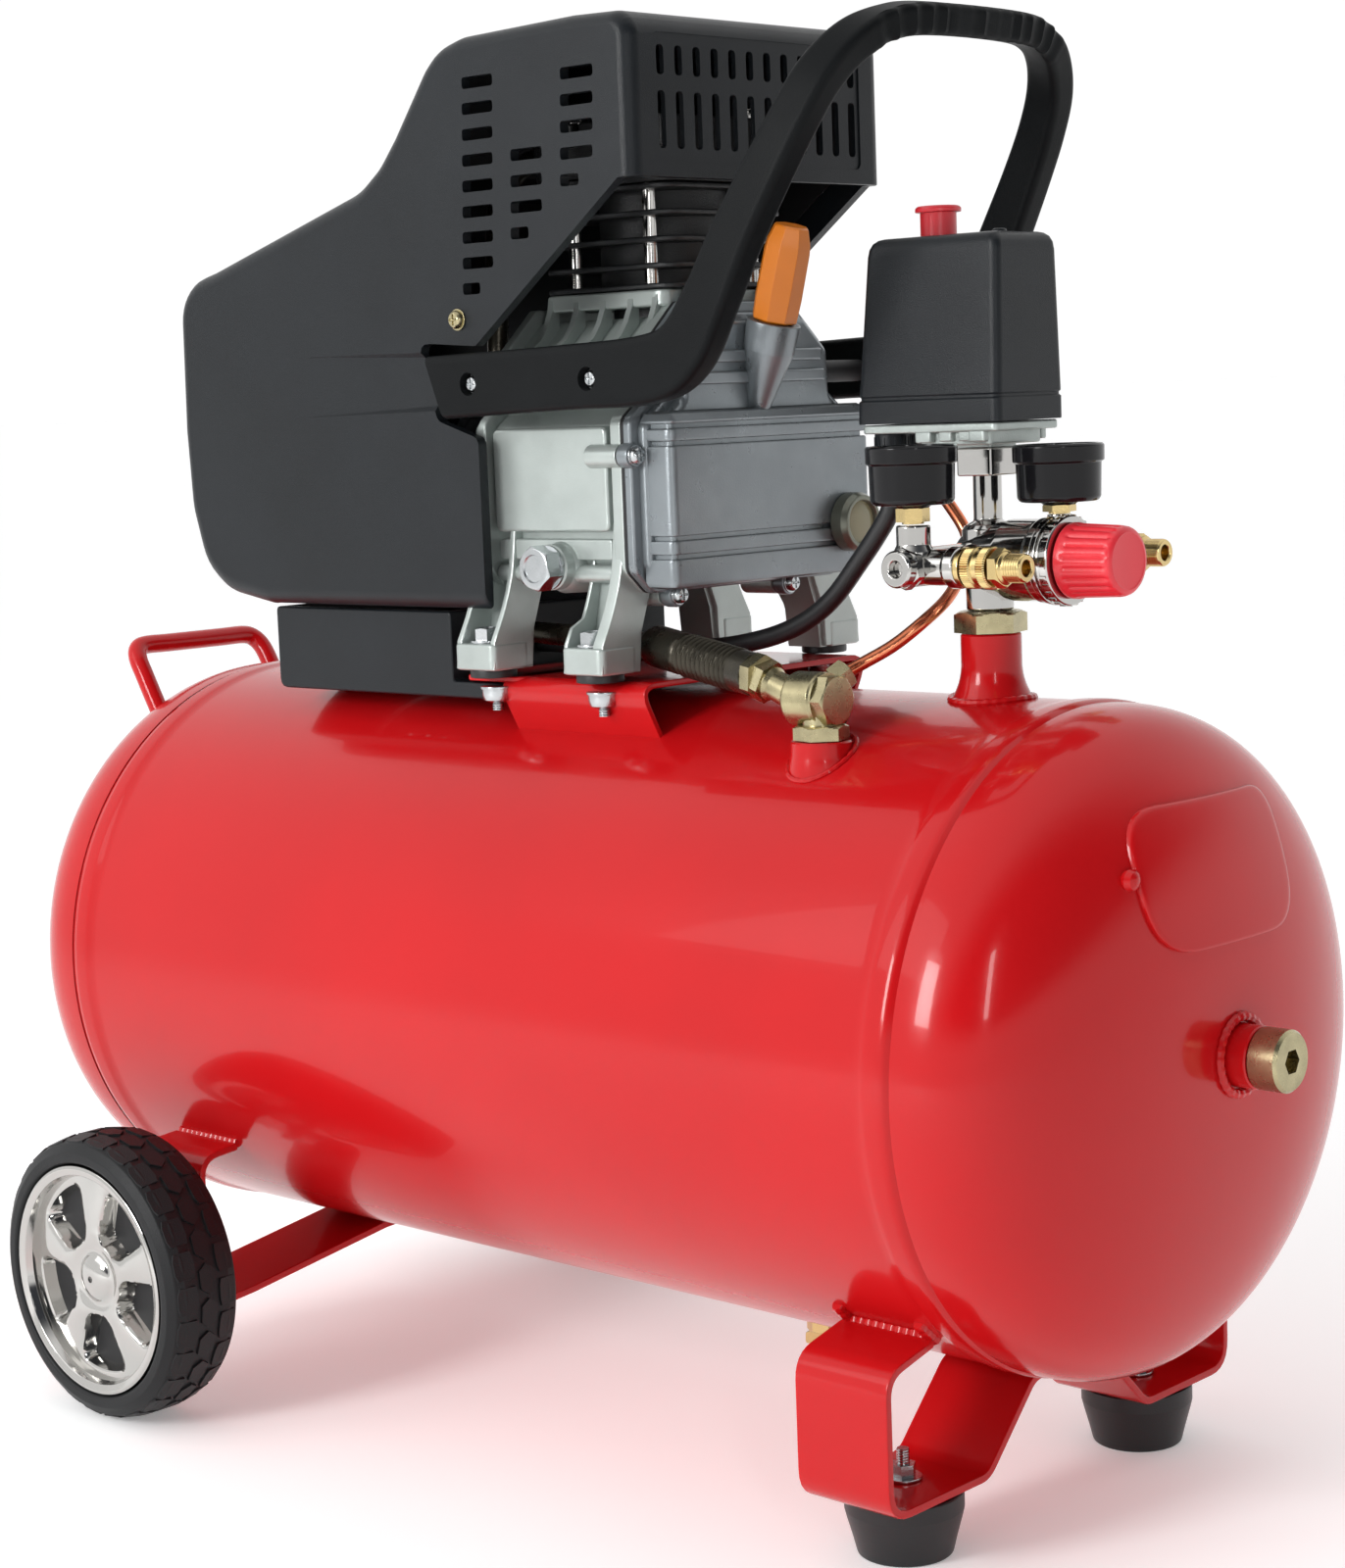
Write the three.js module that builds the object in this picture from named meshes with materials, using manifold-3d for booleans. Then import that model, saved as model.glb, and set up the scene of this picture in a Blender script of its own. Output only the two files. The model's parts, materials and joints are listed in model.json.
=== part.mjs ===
// A 50 litre air compressor on wheels: a lying welded tank carries an oil-lubricated
// piston pump and its motor under a black shroud, with a pressure switch, a regulator
// and two outlets on a riser at one end.
// Millimetres, +Z up. Inside the top group the origin is the middle of the tank's own
// axis: +X runs to the end with the rubber feet, -Y is the front.
import * as THREE from 'three';
import { mergeVertices } from 'three/addons/utils/BufferGeometryUtils.js';
import Module from 'manifold-3d';

const wasm = await Module();
wasm.setup();

// ---- driving dimensions ------------------------------------------------------------
const AXIS_HEIGHT = 222.3;      // tank axis above the floor
const FLOOR = -AXIS_HEIGHT;
const CENTRE_X = 10;            // middle of the whole length, from the middle of the tank
const GAP = 0.3;                // left between pieces that touch

const TANK_R = 152;
const TANK_WALL = 3;
const SEAM_X = 281;             // the shell ends here and the heads begin
const HEAD_DEPTH = 74.5;
const TANK_SIDES = 36;

const RISER = { x: 226, r: 13.9, bore: 9.5, top: 182 };
const INLET = { x: 187, y: -75, r: 15, bore: 7, top: 139 };
const DRAIN_X = 112;
const END_BOSS = { z: 2, r: 14, x: 366 };

const WHEEL = { x: -208.6, r: 75, rim: 60.4, inner: 166, outer: 209.2, axle: 6 };
const WHEEL_Z = FLOOR + WHEEL.r;
const STRAP = { width: 52, thick: 4 };
const FOOT = { x: 235, y: 91, topR: 27, bottomR: 21.5, height: 29 };

const PLATE = { x0: -40, x1: 84, y: 83, top: 161, thick: 3, flangeFoot: 66 };
const PAD = { xs: [-16, 57], y: 80, bottom: 165, top: 178, half: 14, out: 95 };

const CRANK_Z = 250;            // axis of the crankshaft and the motor
const CRANK_THROW = 20;         // half the 40 mm stroke
const BORE_R = 24;
const CYLINDER_X = 32;
const CASE = { x0: -24, x1: 73, neckTop: 344 };
const CYLINDER_TOP = 394;
const HEAD_BLOCK = { half: 45, bottom: 398.3, top: 425 };
const STUD = { dx: 25, dy: 36, r: 3.5, top: 432 };
const PISTON = { height: 38, top: 393 };
const FILLER = { x: 103.5, y: -2, z: 327, lean: 0.29 };   // the mouth, and its lean in radians

const MOTOR = { x0: -165, x1: -55, r: 56, bore: 38 };
const FAN = { r: 45, blades: 7 };
const SHROUD = { halfWidth: 90, wall: 3, endX: 98 };
const HANDLE_SCREWS = { case: 0, cover: 79, z: 303, lugR: 5.4 };

const SWITCH = { bottom: 277, top: 360 };
const GLAND = { x: 181.5, y: 12, r: 8, bottom: 262 };
const BUTTON = { x: 202, stem: 8.3, flange: 10.4, top: 374 };
const MANIFOLD_Z = 215;
const BONNET_X = 262;
const GAUGE = { r: 20.4, stem: 234, bottom: 241, top: 266.5 };

// ---- materials -----------------------------------------------------------------------
const finish = (color, roughness, metalness) => () =>
  new THREE.MeshStandardMaterial({ color, roughness, metalness });
const redPaint = finish(0xc8171b, 0.22, 0.0);
const blackPlastic = finish(0x26292b, 0.55, 0.0);
const castAluminium = finish(0xa9adaa, 0.45, 0.85);
const darkIron = finish(0x1d1f20, 0.6, 0.5);
const chrome = finish(0xd6d6d2, 0.12, 1.0);
const brass = finish(0xc9a557, 0.25, 1.0);
const yellowZinc = finish(0xab9a58, 0.35, 1.0);
const zinc = finish(0xb4b8ba, 0.35, 1.0);
const copper = finish(0xc46a45, 0.25, 1.0);
const rubber = finish(0x1a1c1d, 0.8, 0.0);
const redPlastic = finish(0xcf1f2f, 0.35, 0.0);
const orangePlastic = finish(0xee8a22, 0.4, 0.0);
const glass = finish(0xc9cdb0, 0.1, 0.0);
const steel = finish(0x8e9295, 0.4, 0.9);

// ---- solids ----------------------------------------------------------------------------
// A closed geometry becomes a solid whose faces point outwards.
function solid(geometry) {
  geometry.deleteAttribute('normal');
  geometry.deleteAttribute('uv');
  const merged = mergeVertices(geometry);
  const points = merged.attributes.position.array;
  const corners = Array.from(merged.index.array);
  const triangles = [];
  const [a, b, c] = [new THREE.Vector3(), new THREE.Vector3(), new THREE.Vector3()];
  let volume = 0;
  for (let i = 0; i < corners.length; i += 3) {
    const [p, q, r] = corners.slice(i, i + 3);
    if (p === q || q === r || r === p) continue;
    triangles.push(p, q, r);
    volume += a.fromArray(points, 3 * p).dot(
      b.fromArray(points, 3 * q).cross(c.fromArray(points, 3 * r)));
  }
  if (volume < 0) triangles.reverse();
  return new wasm.Manifold(new wasm.Mesh({
    numProp: 3, vertProperties: new Float32Array(points), triVerts: new Uint32Array(triangles),
  }));
}

function geometryOf(body) {
  const mesh = body.getMesh();
  const geometry = new THREE.BufferGeometry();
  geometry.setAttribute('position', new THREE.BufferAttribute(mesh.vertProperties, 3));
  geometry.setIndex(new THREE.BufferAttribute(mesh.triVerts, 1));
  geometry.computeVertexNormals();
  return geometry;
}

const union = (...bodies) => bodies.reduce((all, body) => all.add(body));
const cut = (body, ...tools) => tools.reduce((left, tool) => left.subtract(tool), body);

// Turns a solid made along Z so that it lies along X or Y.
function along(axis, geometry) {
  if (axis === 'x') geometry.rotateY(Math.PI / 2);
  if (axis === 'y') geometry.rotateX(-Math.PI / 2);
  return geometry;
}

// A profile of [radius, distance along the axis] turned about an axis through (x, y, z).
function turned(profile, { axis = 'z', at = [0, 0, 0], sides = 16, lean = 0 } = {}) {
  const onAxis = profile[0][0] === 0;
  const outline = onAxis ? profile : [...profile, profile[0]];
  const lathe = new THREE.LatheGeometry(outline.map(([r, h]) => new THREE.Vector2(r, h)), sides);
  lathe.rotateX(Math.PI / 2);
  return solid(along(axis, lathe).rotateY(lean).translate(...at));
}

const cylinder = (r, from, to, options) => turned([[0, from], [r, from], [r, to], [0, to]], options);
const ring = (r, bore, from, to, options) =>
  turned([[bore, from], [r, from], [r, to], [bore, to]], options);
const hexagon = (flats, from, to, options = {}) =>
  cylinder(flats / Math.sqrt(3), from, to, { ...options, sides: 6 });

function box(x0, x1, y0, y1, z0, z1) {
  const block = new THREE.BoxGeometry(x1 - x0, y1 - y0, z1 - z0);
  return solid(block.translate((x0 + x1) / 2, (y0 + y1) / 2, (z0 + z1) / 2));
}

// An outline pushed along an axis: its points are (y, z), (x, z) or (x, y).
function prism(outline, axis, from, to) {
  const shape = new THREE.Shape(outline.map(([u, v]) => new THREE.Vector2(u, v)));
  const block = new THREE.ExtrudeGeometry(shape, { depth: to - from, bevelEnabled: false });
  block.translate(0, 0, from);
  const turn = {
    x: new THREE.Matrix4().set(0, 0, 1, 0, 1, 0, 0, 0, 0, 1, 0, 0, 0, 0, 0, 1),
    y: new THREE.Matrix4().set(1, 0, 0, 0, 0, 0, 1, 0, 0, 1, 0, 0, 0, 0, 0, 1),
    z: new THREE.Matrix4(),
  }[axis];
  return solid(block.applyMatrix4(turn));
}

// Rounds the corners of a line of points: every corner becomes an arc of short chords.
function rounded(points, radius, { closed = true, steps = 3 } = {}) {
  const corners = points.map(([u, v]) => new THREE.Vector2(u, v));
  const line = [];
  corners.forEach((corner, i) => {
    const before = corners[(i + corners.length - 1) % corners.length];
    const after = corners[(i + 1) % corners.length];
    if (!closed && (i === 0 || i === corners.length - 1)) {
      line.push(corner);
      return;
    }
    const back = before.clone().sub(corner).normalize();
    const on = after.clone().sub(corner).normalize();
    const half = Math.acos(THREE.MathUtils.clamp(back.dot(on), -1, 1)) / 2;
    const room = Math.min(before.distanceTo(corner), after.distanceTo(corner)) / 2;
    const reach = Math.min(radius / Math.tan(half), room);
    const [start, end] = [back, on].map((way) => corner.clone().addScaledVector(way, reach));
    for (let k = 0; k <= steps; k += 1) {
      line.push(new THREE.QuadraticBezierCurve(start, corner, end).getPoint(k / steps));
    }
  });
  return line.map((p) => [p.x, p.y]);
}

const rectangle = (u0, u1, v0, v1, radius) =>
  rounded([[u0, v0], [u1, v0], [u1, v1], [u0, v1]], radius);

// The outline of a bent strip of even thickness, from the line through its middle.
function strip(line, thick) {
  const middle = line.map(([u, v]) => new THREE.Vector2(u, v));
  const sides = [[], []];
  middle.forEach((point, i) => {
    const before = middle[Math.max(i - 1, 0)];
    const after = middle[Math.min(i + 1, middle.length - 1)];
    const ahead = after.clone().sub(before).normalize();
    const across = new THREE.Vector2(-ahead.y, ahead.x).multiplyScalar(thick / 2);
    sides[0].push(point.clone().add(across));
    sides[1].unshift(point.clone().sub(across));
  });
  return sides.flat().map((p) => [p.x, p.y]);
}

// A round bar or tube along a smooth line of points.
function bar(points, r, { sides = 8, steps = 24, tension = 0.5 } = {}) {
  const path = new THREE.CatmullRomCurve3(
    points.map((p) => new THREE.Vector3(...p)), false, 'catmullrom', tension);
  const section = new THREE.Shape(Array.from({ length: sides }, (_, i) => {
    const turn = (2 * Math.PI * i) / sides;
    return new THREE.Vector2(r * Math.cos(turn), r * Math.sin(turn));
  }));
  return solid(new THREE.ExtrudeGeometry(section, { steps, extrudePath: path, bevelEnabled: false }));
}

// Skins a row of rings that have the same number of points, and closes both ends.
function loft(rings) {
  const count = rings[0].length;
  const positions = rings.flat().flatMap((p) => p.toArray());
  const index = [];
  for (let k = 0; k + 1 < rings.length; k += 1) {
    for (let i = 0; i < count; i += 1) {
      const [a, b] = [k * count + i, k * count + ((i + 1) % count)];
      index.push(a, b, a + count, b, b + count, a + count);
    }
  }
  const last = (rings.length - 1) * count;
  for (let i = 1; i + 1 < count; i += 1) {
    index.push(0, i + 1, i, last, last + i, last + i + 1);
  }
  const geometry = new THREE.BufferGeometry();
  geometry.setAttribute('position', new THREE.Float32BufferAttribute(positions, 3));
  geometry.setIndex(index);
  return solid(geometry);
}

// ---- scene -------------------------------------------------------------------------------
const compressor = new THREE.Group();
compressor.position.set(-CENTRE_X, 0, AXIS_HEIGHT);

function add(name, body, material) {
  const mesh = new THREE.Mesh(geometryOf(body), material());
  mesh.name = name;
  compressor.add(mesh);
}

const SIDES = [['left', -1], ['right', 1]];   // left is the front, -Y

// ---- tank ----------------------------------------------------------------------------------
// Radius of a dished head, as a share of the shell's, at a share of the head's depth.
const dome = (share) => (1 - share ** 2.77) ** (1 / 2.2);
const DOME_SHARES = [0, 0.35, 0.58, 0.77, 0.9, 0.97, 1];

function headProfile(r, depth, shares) {
  return shares.map((share) => [share === 1 ? 0 : r * dome(share), share * depth]);
}

// A solid dome over a tank end, a little outside it: it trims what is welded to the head.
function headTrim(side, clearance) {
  const curve = headProfile(TANK_R + clearance, HEAD_DEPTH + clearance, DOME_SHARES);
  const profile = [[0, -80], [TANK_R + clearance, -80], ...curve];
  const end = turned(profile, { axis: 'x', sides: TANK_SIDES });
  return (side < 0 ? end.mirror([1, 0, 0]) : end).translate([side * SEAM_X, 0, 0]);
}

const shellTrim = cylinder(TANK_R + GAP, -SEAM_X, SEAM_X, { axis: 'x', sides: TANK_SIDES });

function buildTank() {
  const lip = 12;
  const lipR = TANK_R - TANK_WALL - GAP;
  const tube = ring(TANK_R, TANK_R - TANK_WALL, -SEAM_X, SEAM_X, { axis: 'x', sides: TANK_SIDES });
  const inletFoot = TANK_R - 26;
  const inletBoss = turned(
    [[0, inletFoot], [INLET.r + 5, inletFoot], [INLET.r + 3, INLET.top - 8], [INLET.r - 2, INLET.top],
      [0, INLET.top]], { at: [INLET.x, INLET.y, 0] });
  const drainBoss = cylinder(11, -TANK_R - 7, -TANK_R + 6, { at: [DRAIN_X, 0, 0] });
  const inside = cylinder(TANK_R - TANK_WALL, -SEAM_X, SEAM_X, { axis: 'x', sides: TANK_SIDES });
  const bosses = cut(union(inletBoss, drainBoss), inside);
  add('tank_shell', cut(
    union(tube, bosses),
    cylinder(INLET.bore, 90, 160, { at: [INLET.x, INLET.y, 0], sides: 12 }),
    cylinder(5, -170, -140, { at: [DRAIN_X, 0, 0], sides: 12 }),
    cylinder(RISER.bore, 140, 160, { at: [RISER.x, 0, 0], sides: 16 })), redPaint);

  const outer = headProfile(TANK_R, HEAD_DEPTH, DOME_SHARES);
  const inner = headProfile(lipR - TANK_WALL, HEAD_DEPTH - TANK_WALL, [1, 0.87, 0.5, 0]);
  outer[0][1] = GAP;
  const profile = [...inner, [lipR - TANK_WALL, -lip], [lipR, -lip], [lipR, GAP], ...outer];
  const head = turned(profile, { axis: 'x', sides: TANK_SIDES });
  add('tank_head_left', head.mirror([1, 0, 0]).translate([-SEAM_X, 0, 0]), redPaint);
  const bossBody = cut(
    cylinder(END_BOSS.r, 330, END_BOSS.x, { axis: 'x', at: [0, 0, END_BOSS.z] }),
    headTrim(1, -TANK_WALL / 2));
  add('tank_head_right', cut(
    union(head.translate([SEAM_X, 0, 0]), bossBody),
    cylinder(8, 300, 400, { axis: 'x', at: [0, 0, END_BOSS.z], sides: 12 })), redPaint);

  const plug = cut(
    union(
      cylinder(13.8, END_BOSS.x + GAP, 381, { axis: 'x', at: [0, 0, END_BOSS.z] }),
      cylinder(7.7, 352, 372, { axis: 'x', at: [0, 0, END_BOSS.z], sides: 12 })),
    hexagon(10, 372, 390, { axis: 'x', at: [0, 0, END_BOSS.z] }));
  add('end_plug', plug, zinc);

  const plate = cut(headTrim(1, 2), headTrim(1, 0.4)).intersect(
    prism(rectangle(-58, 52, 52, 114, 26), 'x', 290, 380));
  add('data_plate', plate, redPaint);

  const riser = cut(
    turned([[RISER.bore, 146], [21, 146], [20, 154], [15.5, 162], [RISER.r, 168], [RISER.r, RISER.top],
      [RISER.bore, RISER.top]], { at: [RISER.x, 0, 0] }), shellTrim);
  add('outlet_riser', riser, redPaint);

  const drain = union(
    cylinder(4.7, -TANK_R - 9, -TANK_R + 2, { sides: 12, at: [DRAIN_X, 0, 0] }),
    hexagon(14, -TANK_R - 15, -TANK_R - 7 - GAP, { at: [DRAIN_X, 0, 0] }),
    box(DRAIN_X - 11, DRAIN_X + 11, -1.5, 1.5, -TANK_R - 24, -TANK_R - 14));
  add('drain_valve', drain, brass);
}

// ---- running gear ---------------------------------------------------------------------------
// Mirrors half of a strap's middle line, from one side of the tank to the lowest point.
const bothHalves = (half) => [...half, ...half.map(([y, z]) => [-y, z]).reverse()];

function buildStraps() {
  const [front, rear] = [FOOT.x, WHEEL.x].map((x) => [x - STRAP.width / 2, x + STRAP.width / 2]);
  const under = -TANK_R - STRAP.thick / 2 - 0.6;
  const flat = FLOOR + FOOT.height + GAP + STRAP.thick / 2;
  const footLine = rounded(bothHalves(
    [[-98, -119.5], [-131, -127], [-131, flat], [-62, flat], [-26, under], [-8, under]]), 13,
    { closed: false, steps: 2 });
  add('front_foot_strap', cut(
    prism(strip(footLine, STRAP.thick), 'x', ...front), shellTrim,
    ...SIDES.map(([, side]) => cylinder(4.5, flat - 9, flat + 9,
      { at: [FOOT.x, side * FOOT.y, 0], sides: 12 }))), redPaint);

  const wheelLine = rounded(bothHalves(
    [[-126, -90], [-150, -92], [-150, -172], [-120, -169], [-26, under - 1], [-8, under]]), 12,
    { closed: false, steps: 2 });
  add('wheel_strap', cut(
    prism(strip(wheelLine, STRAP.thick), 'x', ...rear), shellTrim,
    cylinder(WHEEL.axle + GAP, -170, 170, { axis: 'y', at: [WHEEL.x, 0, WHEEL_Z], sides: 16 })),
    redPaint);
}

function buildFeetAndWheels() {
  const top = FLOOR + FOOT.height;
  const at = { axis: 'y', at: [WHEEL.x, 0, WHEEL_Z] };
  const { inner, outer, rim, axle } = WHEEL;
  for (const [name, side] of SIDES) {
    add(`foot_${name}`, turned([[0, FLOOR], [FOOT.bottomR, FLOOR], [FOOT.topR - 1, top - 12],
      [FOOT.topR, top], [0, top]], { at: [FOOT.x, side * FOOT.y, 0], sides: 20 }), rubber);
    const mirrored = (profile) => profile.map(([r, y]) => [r, side * y]);
    add(`tyre_${name}`, turned(mirrored(
      [[rim + GAP, inner + 2], [68, inner], [73, inner + 3], [WHEEL.r, inner + 9], [WHEEL.r, outer - 8],
        [73, outer - 2], [68, outer], [rim + GAP, outer]]), { ...at, sides: 24 }), rubber);
    add(`hub_${name}`, turned(mirrored(
      [[axle + 0.5, 158], [13, 158], [15, 188], [52, 188], [53, inner + 3], [rim, inner + 3],
        [rim, outer - 1], [54, outer - 1], [53, 197.7], [axle + 0.5, 197.7]]),
      { ...at, sides: 24 }), chrome);
    add(`axle_bolt_${name}`, union(
      turned(mirrored([[0, 140], [axle, 140], [axle, 200], [0, 200]]), { ...at, sides: 12 }),
      turned(mirrored([[0, 198], [10, 198], [10, 204], [0, 204]]), { ...at, sides: 6 }),
      turned(mirrored([[0, 138], [11, 138], [11, 147.5], [0, 147.5]]), { ...at, sides: 6 })), zinc);
  }
}

function buildTowHandle() {
  const [reach, top, half] = [-356, 163, 46];
  const front = [[-322, -half, 110], [-338, -half, 135], [-351, -half, 156], [reach, 6 - half, top]];
  const rear = front.map(([x, y, z]) => [x, -y, z]).reverse();
  const path = [...front, [reach, 0, top], ...rear];
  add('tow_handle', cut(bar(path, 5.3, { steps: 20, tension: 0.3 }), headTrim(-1, GAP)), redPaint);
}

// ---- motor plate --------------------------------------------------------------------------------
function buildMotorPlate() {
  const { x0, x1, y, top, thick, flangeFoot } = PLATE;
  const holes = PAD.xs.flatMap((x) => SIDES.map(([, side]) =>
    cylinder(4.5, top - 9, top + 9, { at: [x, side * PAD.y, 0], sides: 12 })));
  const line = rounded([[-flangeFoot, 128], [-y, top - thick / 2], [y, top - thick / 2],
    [flangeFoot, 128]], 6, { closed: false });
  const saddle = prism(strip(line, thick), 'x', x0 + 28, x1);
  const shelf = box(x0, x0 + 40, -y + 4, y - 4, top - thick, top);
  add('motor_plate', cut(union(saddle, shelf), shellTrim, ...holes), redPaint);
}

// ---- pump ------------------------------------------------------------------------------------------
// The outline (y, z) of the crankcase and its cover, seen along the shaft.
const CASE_HALF = [[66, 202], [78, 213], [78, 284], [62, 296], [61, 318], [39, 338]];
const CASE_OUTLINE = [...CASE_HALF, ...CASE_HALF.map(([y, z]) => [-y, z]).reverse()];

// The same outline drawn in by a distance towards its middle.
function inset(outline, by) {
  const [middleZ, halfZ, halfY] = [270, 68, 78];
  return outline.map(([y, z]) =>
    [y * (1 - by / halfY), middleZ + (z - middleZ) * (1 - by / halfZ)]);
}

// The round lugs that the carry handle is screwed to, front and rear.
const lugs = (x) => SIDES.map(([, side]) => cylinder(HANDLE_SCREWS.lugR, side * 50, side * 90.5,
  { axis: 'y', at: [x, 0, HANDLE_SCREWS.z], sides: 12 }));

function buildCrankcase() {
  const legOutline = [[76, 236], [80, 212], [86, 194], [PAD.out, PAD.top], [PAD.out, PAD.bottom],
    [68, PAD.bottom], [67, 184], [58, 206], [56, 236]];
  const legs = PAD.xs.flatMap((x) => SIDES.map(([, side]) => prism(
    legOutline.map(([y, z]) => [side * y, z]), 'x', x - PAD.half + (x > 0 ? 1 : 0), x + PAD.half)));
  const backFlange = prism(inset(CASE_OUTLINE, 4), 'x', -30, CASE.x0 + 1);
  const neck = box(CYLINDER_X - 40, CYLINDER_X + 40, -42, 42, 330, CASE.neckTop);
  const boltBoss = cylinder(11, -84, -60, { axis: 'y', at: [28, 0, 215], sides: 16 });
  const body = union(prism(CASE_OUTLINE, 'x', CASE.x0, CASE.x1), backFlange, neck, boltBoss,
    ...legs, ...lugs(HANDLE_SCREWS.case));
  const padHoles = PAD.xs.flatMap((x) => SIDES.map(([, side]) =>
    cylinder(4.5, 150, 190, { at: [x, side * PAD.y, 0], sides: 12 })));
  add('crankcase', cut(
    body,
    prism(inset(CASE_OUTLINE, 10), 'x', -12, CASE.x1 + 1),
    cylinder(BORE_R + 2.2, 320, 350, { at: [CYLINDER_X, 0, 0], sides: 18 }),
    cylinder(8, -40, 0, { axis: 'x', at: [0, 0, CRANK_Z], sides: 16 }),
    cylinder(5.2, -90, -50, { axis: 'y', at: [28, 0, 215], sides: 12 }),
    ...padHoles), castAluminium);

  const filler = { at: [FILLER.x, FILLER.y, FILLER.z], lean: FILLER.lean, sides: 12 };
  const spout = turned([[0, -48], [5, -46], [12.5, -14], [13, 0], [0, 0]], filler);
  const dish = [[80, 0], [96, 2], [99, 6]].map(([x, by]) =>
    rectangle(by - 72, 72 - by, 205 + by, 287 - by, 9).map(([y, z]) => new THREE.Vector3(x, y, z)));
  add('crankcase_cover', cut(
    union(prism(CASE_OUTLINE, 'x', CASE.x1 + GAP, 84), loft(dish), spout,
      prism(inset(CASE_OUTLINE, 9), 'x', 80, 91),
      ...lugs(HANDLE_SCREWS.cover)),
    prism(inset(CASE_OUTLINE, 18), 'x', CASE.x1 - 1, 87),
    cylinder(8.6, -26, 6, filler)), castAluminium);

  add('oil_filler_cap', union(
    cylinder(8, -20, 4, filler),
    turned([[0, GAP], [11.4, GAP], [11.4, 43], [9.5, 46], [0, 46]], { ...filler, sides: 8 })),
  orangePlastic);
  add('sight_glass', turned(
    [[0, 99.4], [14.5, 99.4], [14.5, 106], [13, 109], [10.5, 109], [10.5, 107], [0, 107]],
    { axis: 'x', at: [0, 54, 229] }), glass);
  add('oil_drain_bolt', union(
    hexagon(19, -95, -84 - GAP, { axis: 'y', at: [28, 0, 215] }),
    cylinder(5, -85, -66, { axis: 'y', at: [28, 0, 215], sides: 12 })), zinc);
}

function buildCylinder() {
  const at = { at: [CYLINDER_X, 0, 0], sides: 18 };
  const [finR, bodyR, base] = [38, 31, CASE.neckTop + GAP];
  const profile = [[BORE_R + 0.4, 326], [BORE_R + 1.7, 326], [BORE_R + 1.7, base], [finR, base]];
  const pitch = 12.4;
  for (let fin = 0; fin < 4; fin += 1) {
    const z = base + fin * pitch;
    profile.push([finR, z + 4], [bodyR, z + pitch / 2 + 2], [finR, z + pitch]);
  }
  profile.push([BORE_R + 0.4, base + 4 * pitch]);
  add('cylinder', turned(profile, at), darkIron);

  const { half, bottom, top } = HEAD_BLOCK;
  const corners = [-1, 1].flatMap((sx) => [-1, 1].map((sy) =>
    [CYLINDER_X + sx * STUD.dx, sy * STUD.dy]));
  const studHoles = corners.map(([x, y]) =>
    cylinder(STUD.r + 0.6, CYLINDER_TOP - 2, top + 2, { at: [x, y, 0], sides: 10 }));
  const block = (z0, z1) => prism(
    rectangle(CYLINDER_X - half, CYLINDER_X + half, -half, half, 8), 'z', z0, z1);
  add('valve_plate', cut(block(CYLINDER_TOP + GAP, bottom - GAP), ...studHoles,
    cylinder(6, 390, 400, { at: [CYLINDER_X, 12, 0], sides: 12 })), steel);
  const grooves = [-28, -14, 0, 14, 28].map((dx) =>
    box(CYLINDER_X + dx - 2.5, CYLINDER_X + dx + 2.5, -50, 50, top - 10, top + 1));
  add('cylinder_head', cut(block(bottom, top), ...studHoles, ...grooves), castAluminium);
  corners.forEach(([x, y], i) => add(`head_stud_${i + 1}`,
    cylinder(STUD.r, CASE.neckTop + GAP, STUD.top, { at: [x, y, 0], sides: 10 }), zinc));

  const pistonTop = PISTON.top;
  const pinZ = pistonTop - 20;
  add('piston', cut(
    turned([[0, pistonTop - 8], [BORE_R - 4, pistonTop - 8], [BORE_R - 4, pistonTop - PISTON.height],
      [BORE_R, pistonTop - PISTON.height], [BORE_R, pistonTop], [0, pistonTop]], at),
    cylinder(5, -30, 30, { axis: 'y', at: [CYLINDER_X, 0, pinZ], sides: 12 })), castAluminium);
  const eye = { axis: 'x', at: [0, 0, CRANK_Z + CRANK_THROW], sides: 16 };
  const rodFrom = CYLINDER_X - 8;
  add('connecting_rod', cut(
    union(
      cylinder(13, rodFrom, CYLINDER_X + 8, eye),
      box(CYLINDER_X - 5, CYLINDER_X + 5, -6, 6, CRANK_Z + CRANK_THROW + 9, pinZ),
      cylinder(4.6, -18, 18, { axis: 'y', at: [CYLINDER_X, 0, pinZ], sides: 12 })),
    cylinder(7.6, rodFrom - 1, CYLINDER_X + 9, eye)), steel);
  const shaft = { axis: 'x', at: [0, 0, CRANK_Z], sides: 16 };
  const web = prism([[-9, CRANK_Z + 29], [9, CRANK_Z + 29], [24, CRANK_Z - 6], [18, CRANK_Z - 28],
    [-18, CRANK_Z - 28], [-24, CRANK_Z - 6]], 'x', 3, 14);
  add('crankshaft', union(
    cylinder(7.5, -216, 5, shaft), web,
    cylinder(7, 12, rodFrom - 0.6, eye)), steel);
}

// ---- motor and shroud ----------------------------------------------------------------------------------
function buildMotor() {
  const shaft = { axis: 'x', at: [0, 0, CRANK_Z] };
  const { x0, x1, r, bore } = MOTOR;
  add('motor_stator', turned([[bore, x0], [r - 6, x0], [r - 6, x0 + 20], [r, x0 + 20], [r, x1 - 20],
    [r - 6, x1 - 20], [r - 6, x1], [bore, x1]], shaft), steel);
  add('rotor', ring(bore - 1.4, 7.8, x0 + 5, x1 - 5, shaft), steel);
  const blades = Array.from({ length: FAN.blades }, (_, i) =>
    box(-212, -192, -1.5, 1.5, 12, FAN.r - 0.5).rotate([(360 * i) / FAN.blades, 0, 0])
      .translate([0, 0, CRANK_Z]));
  add('cooling_fan', cut(
    union(cylinder(15, -213, -189, shaft), cylinder(FAN.r - 2, -193, -190, shaft), ...blades),
    cylinder(7.8, -220, -180, shaft)), blackPlastic);
}

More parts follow.
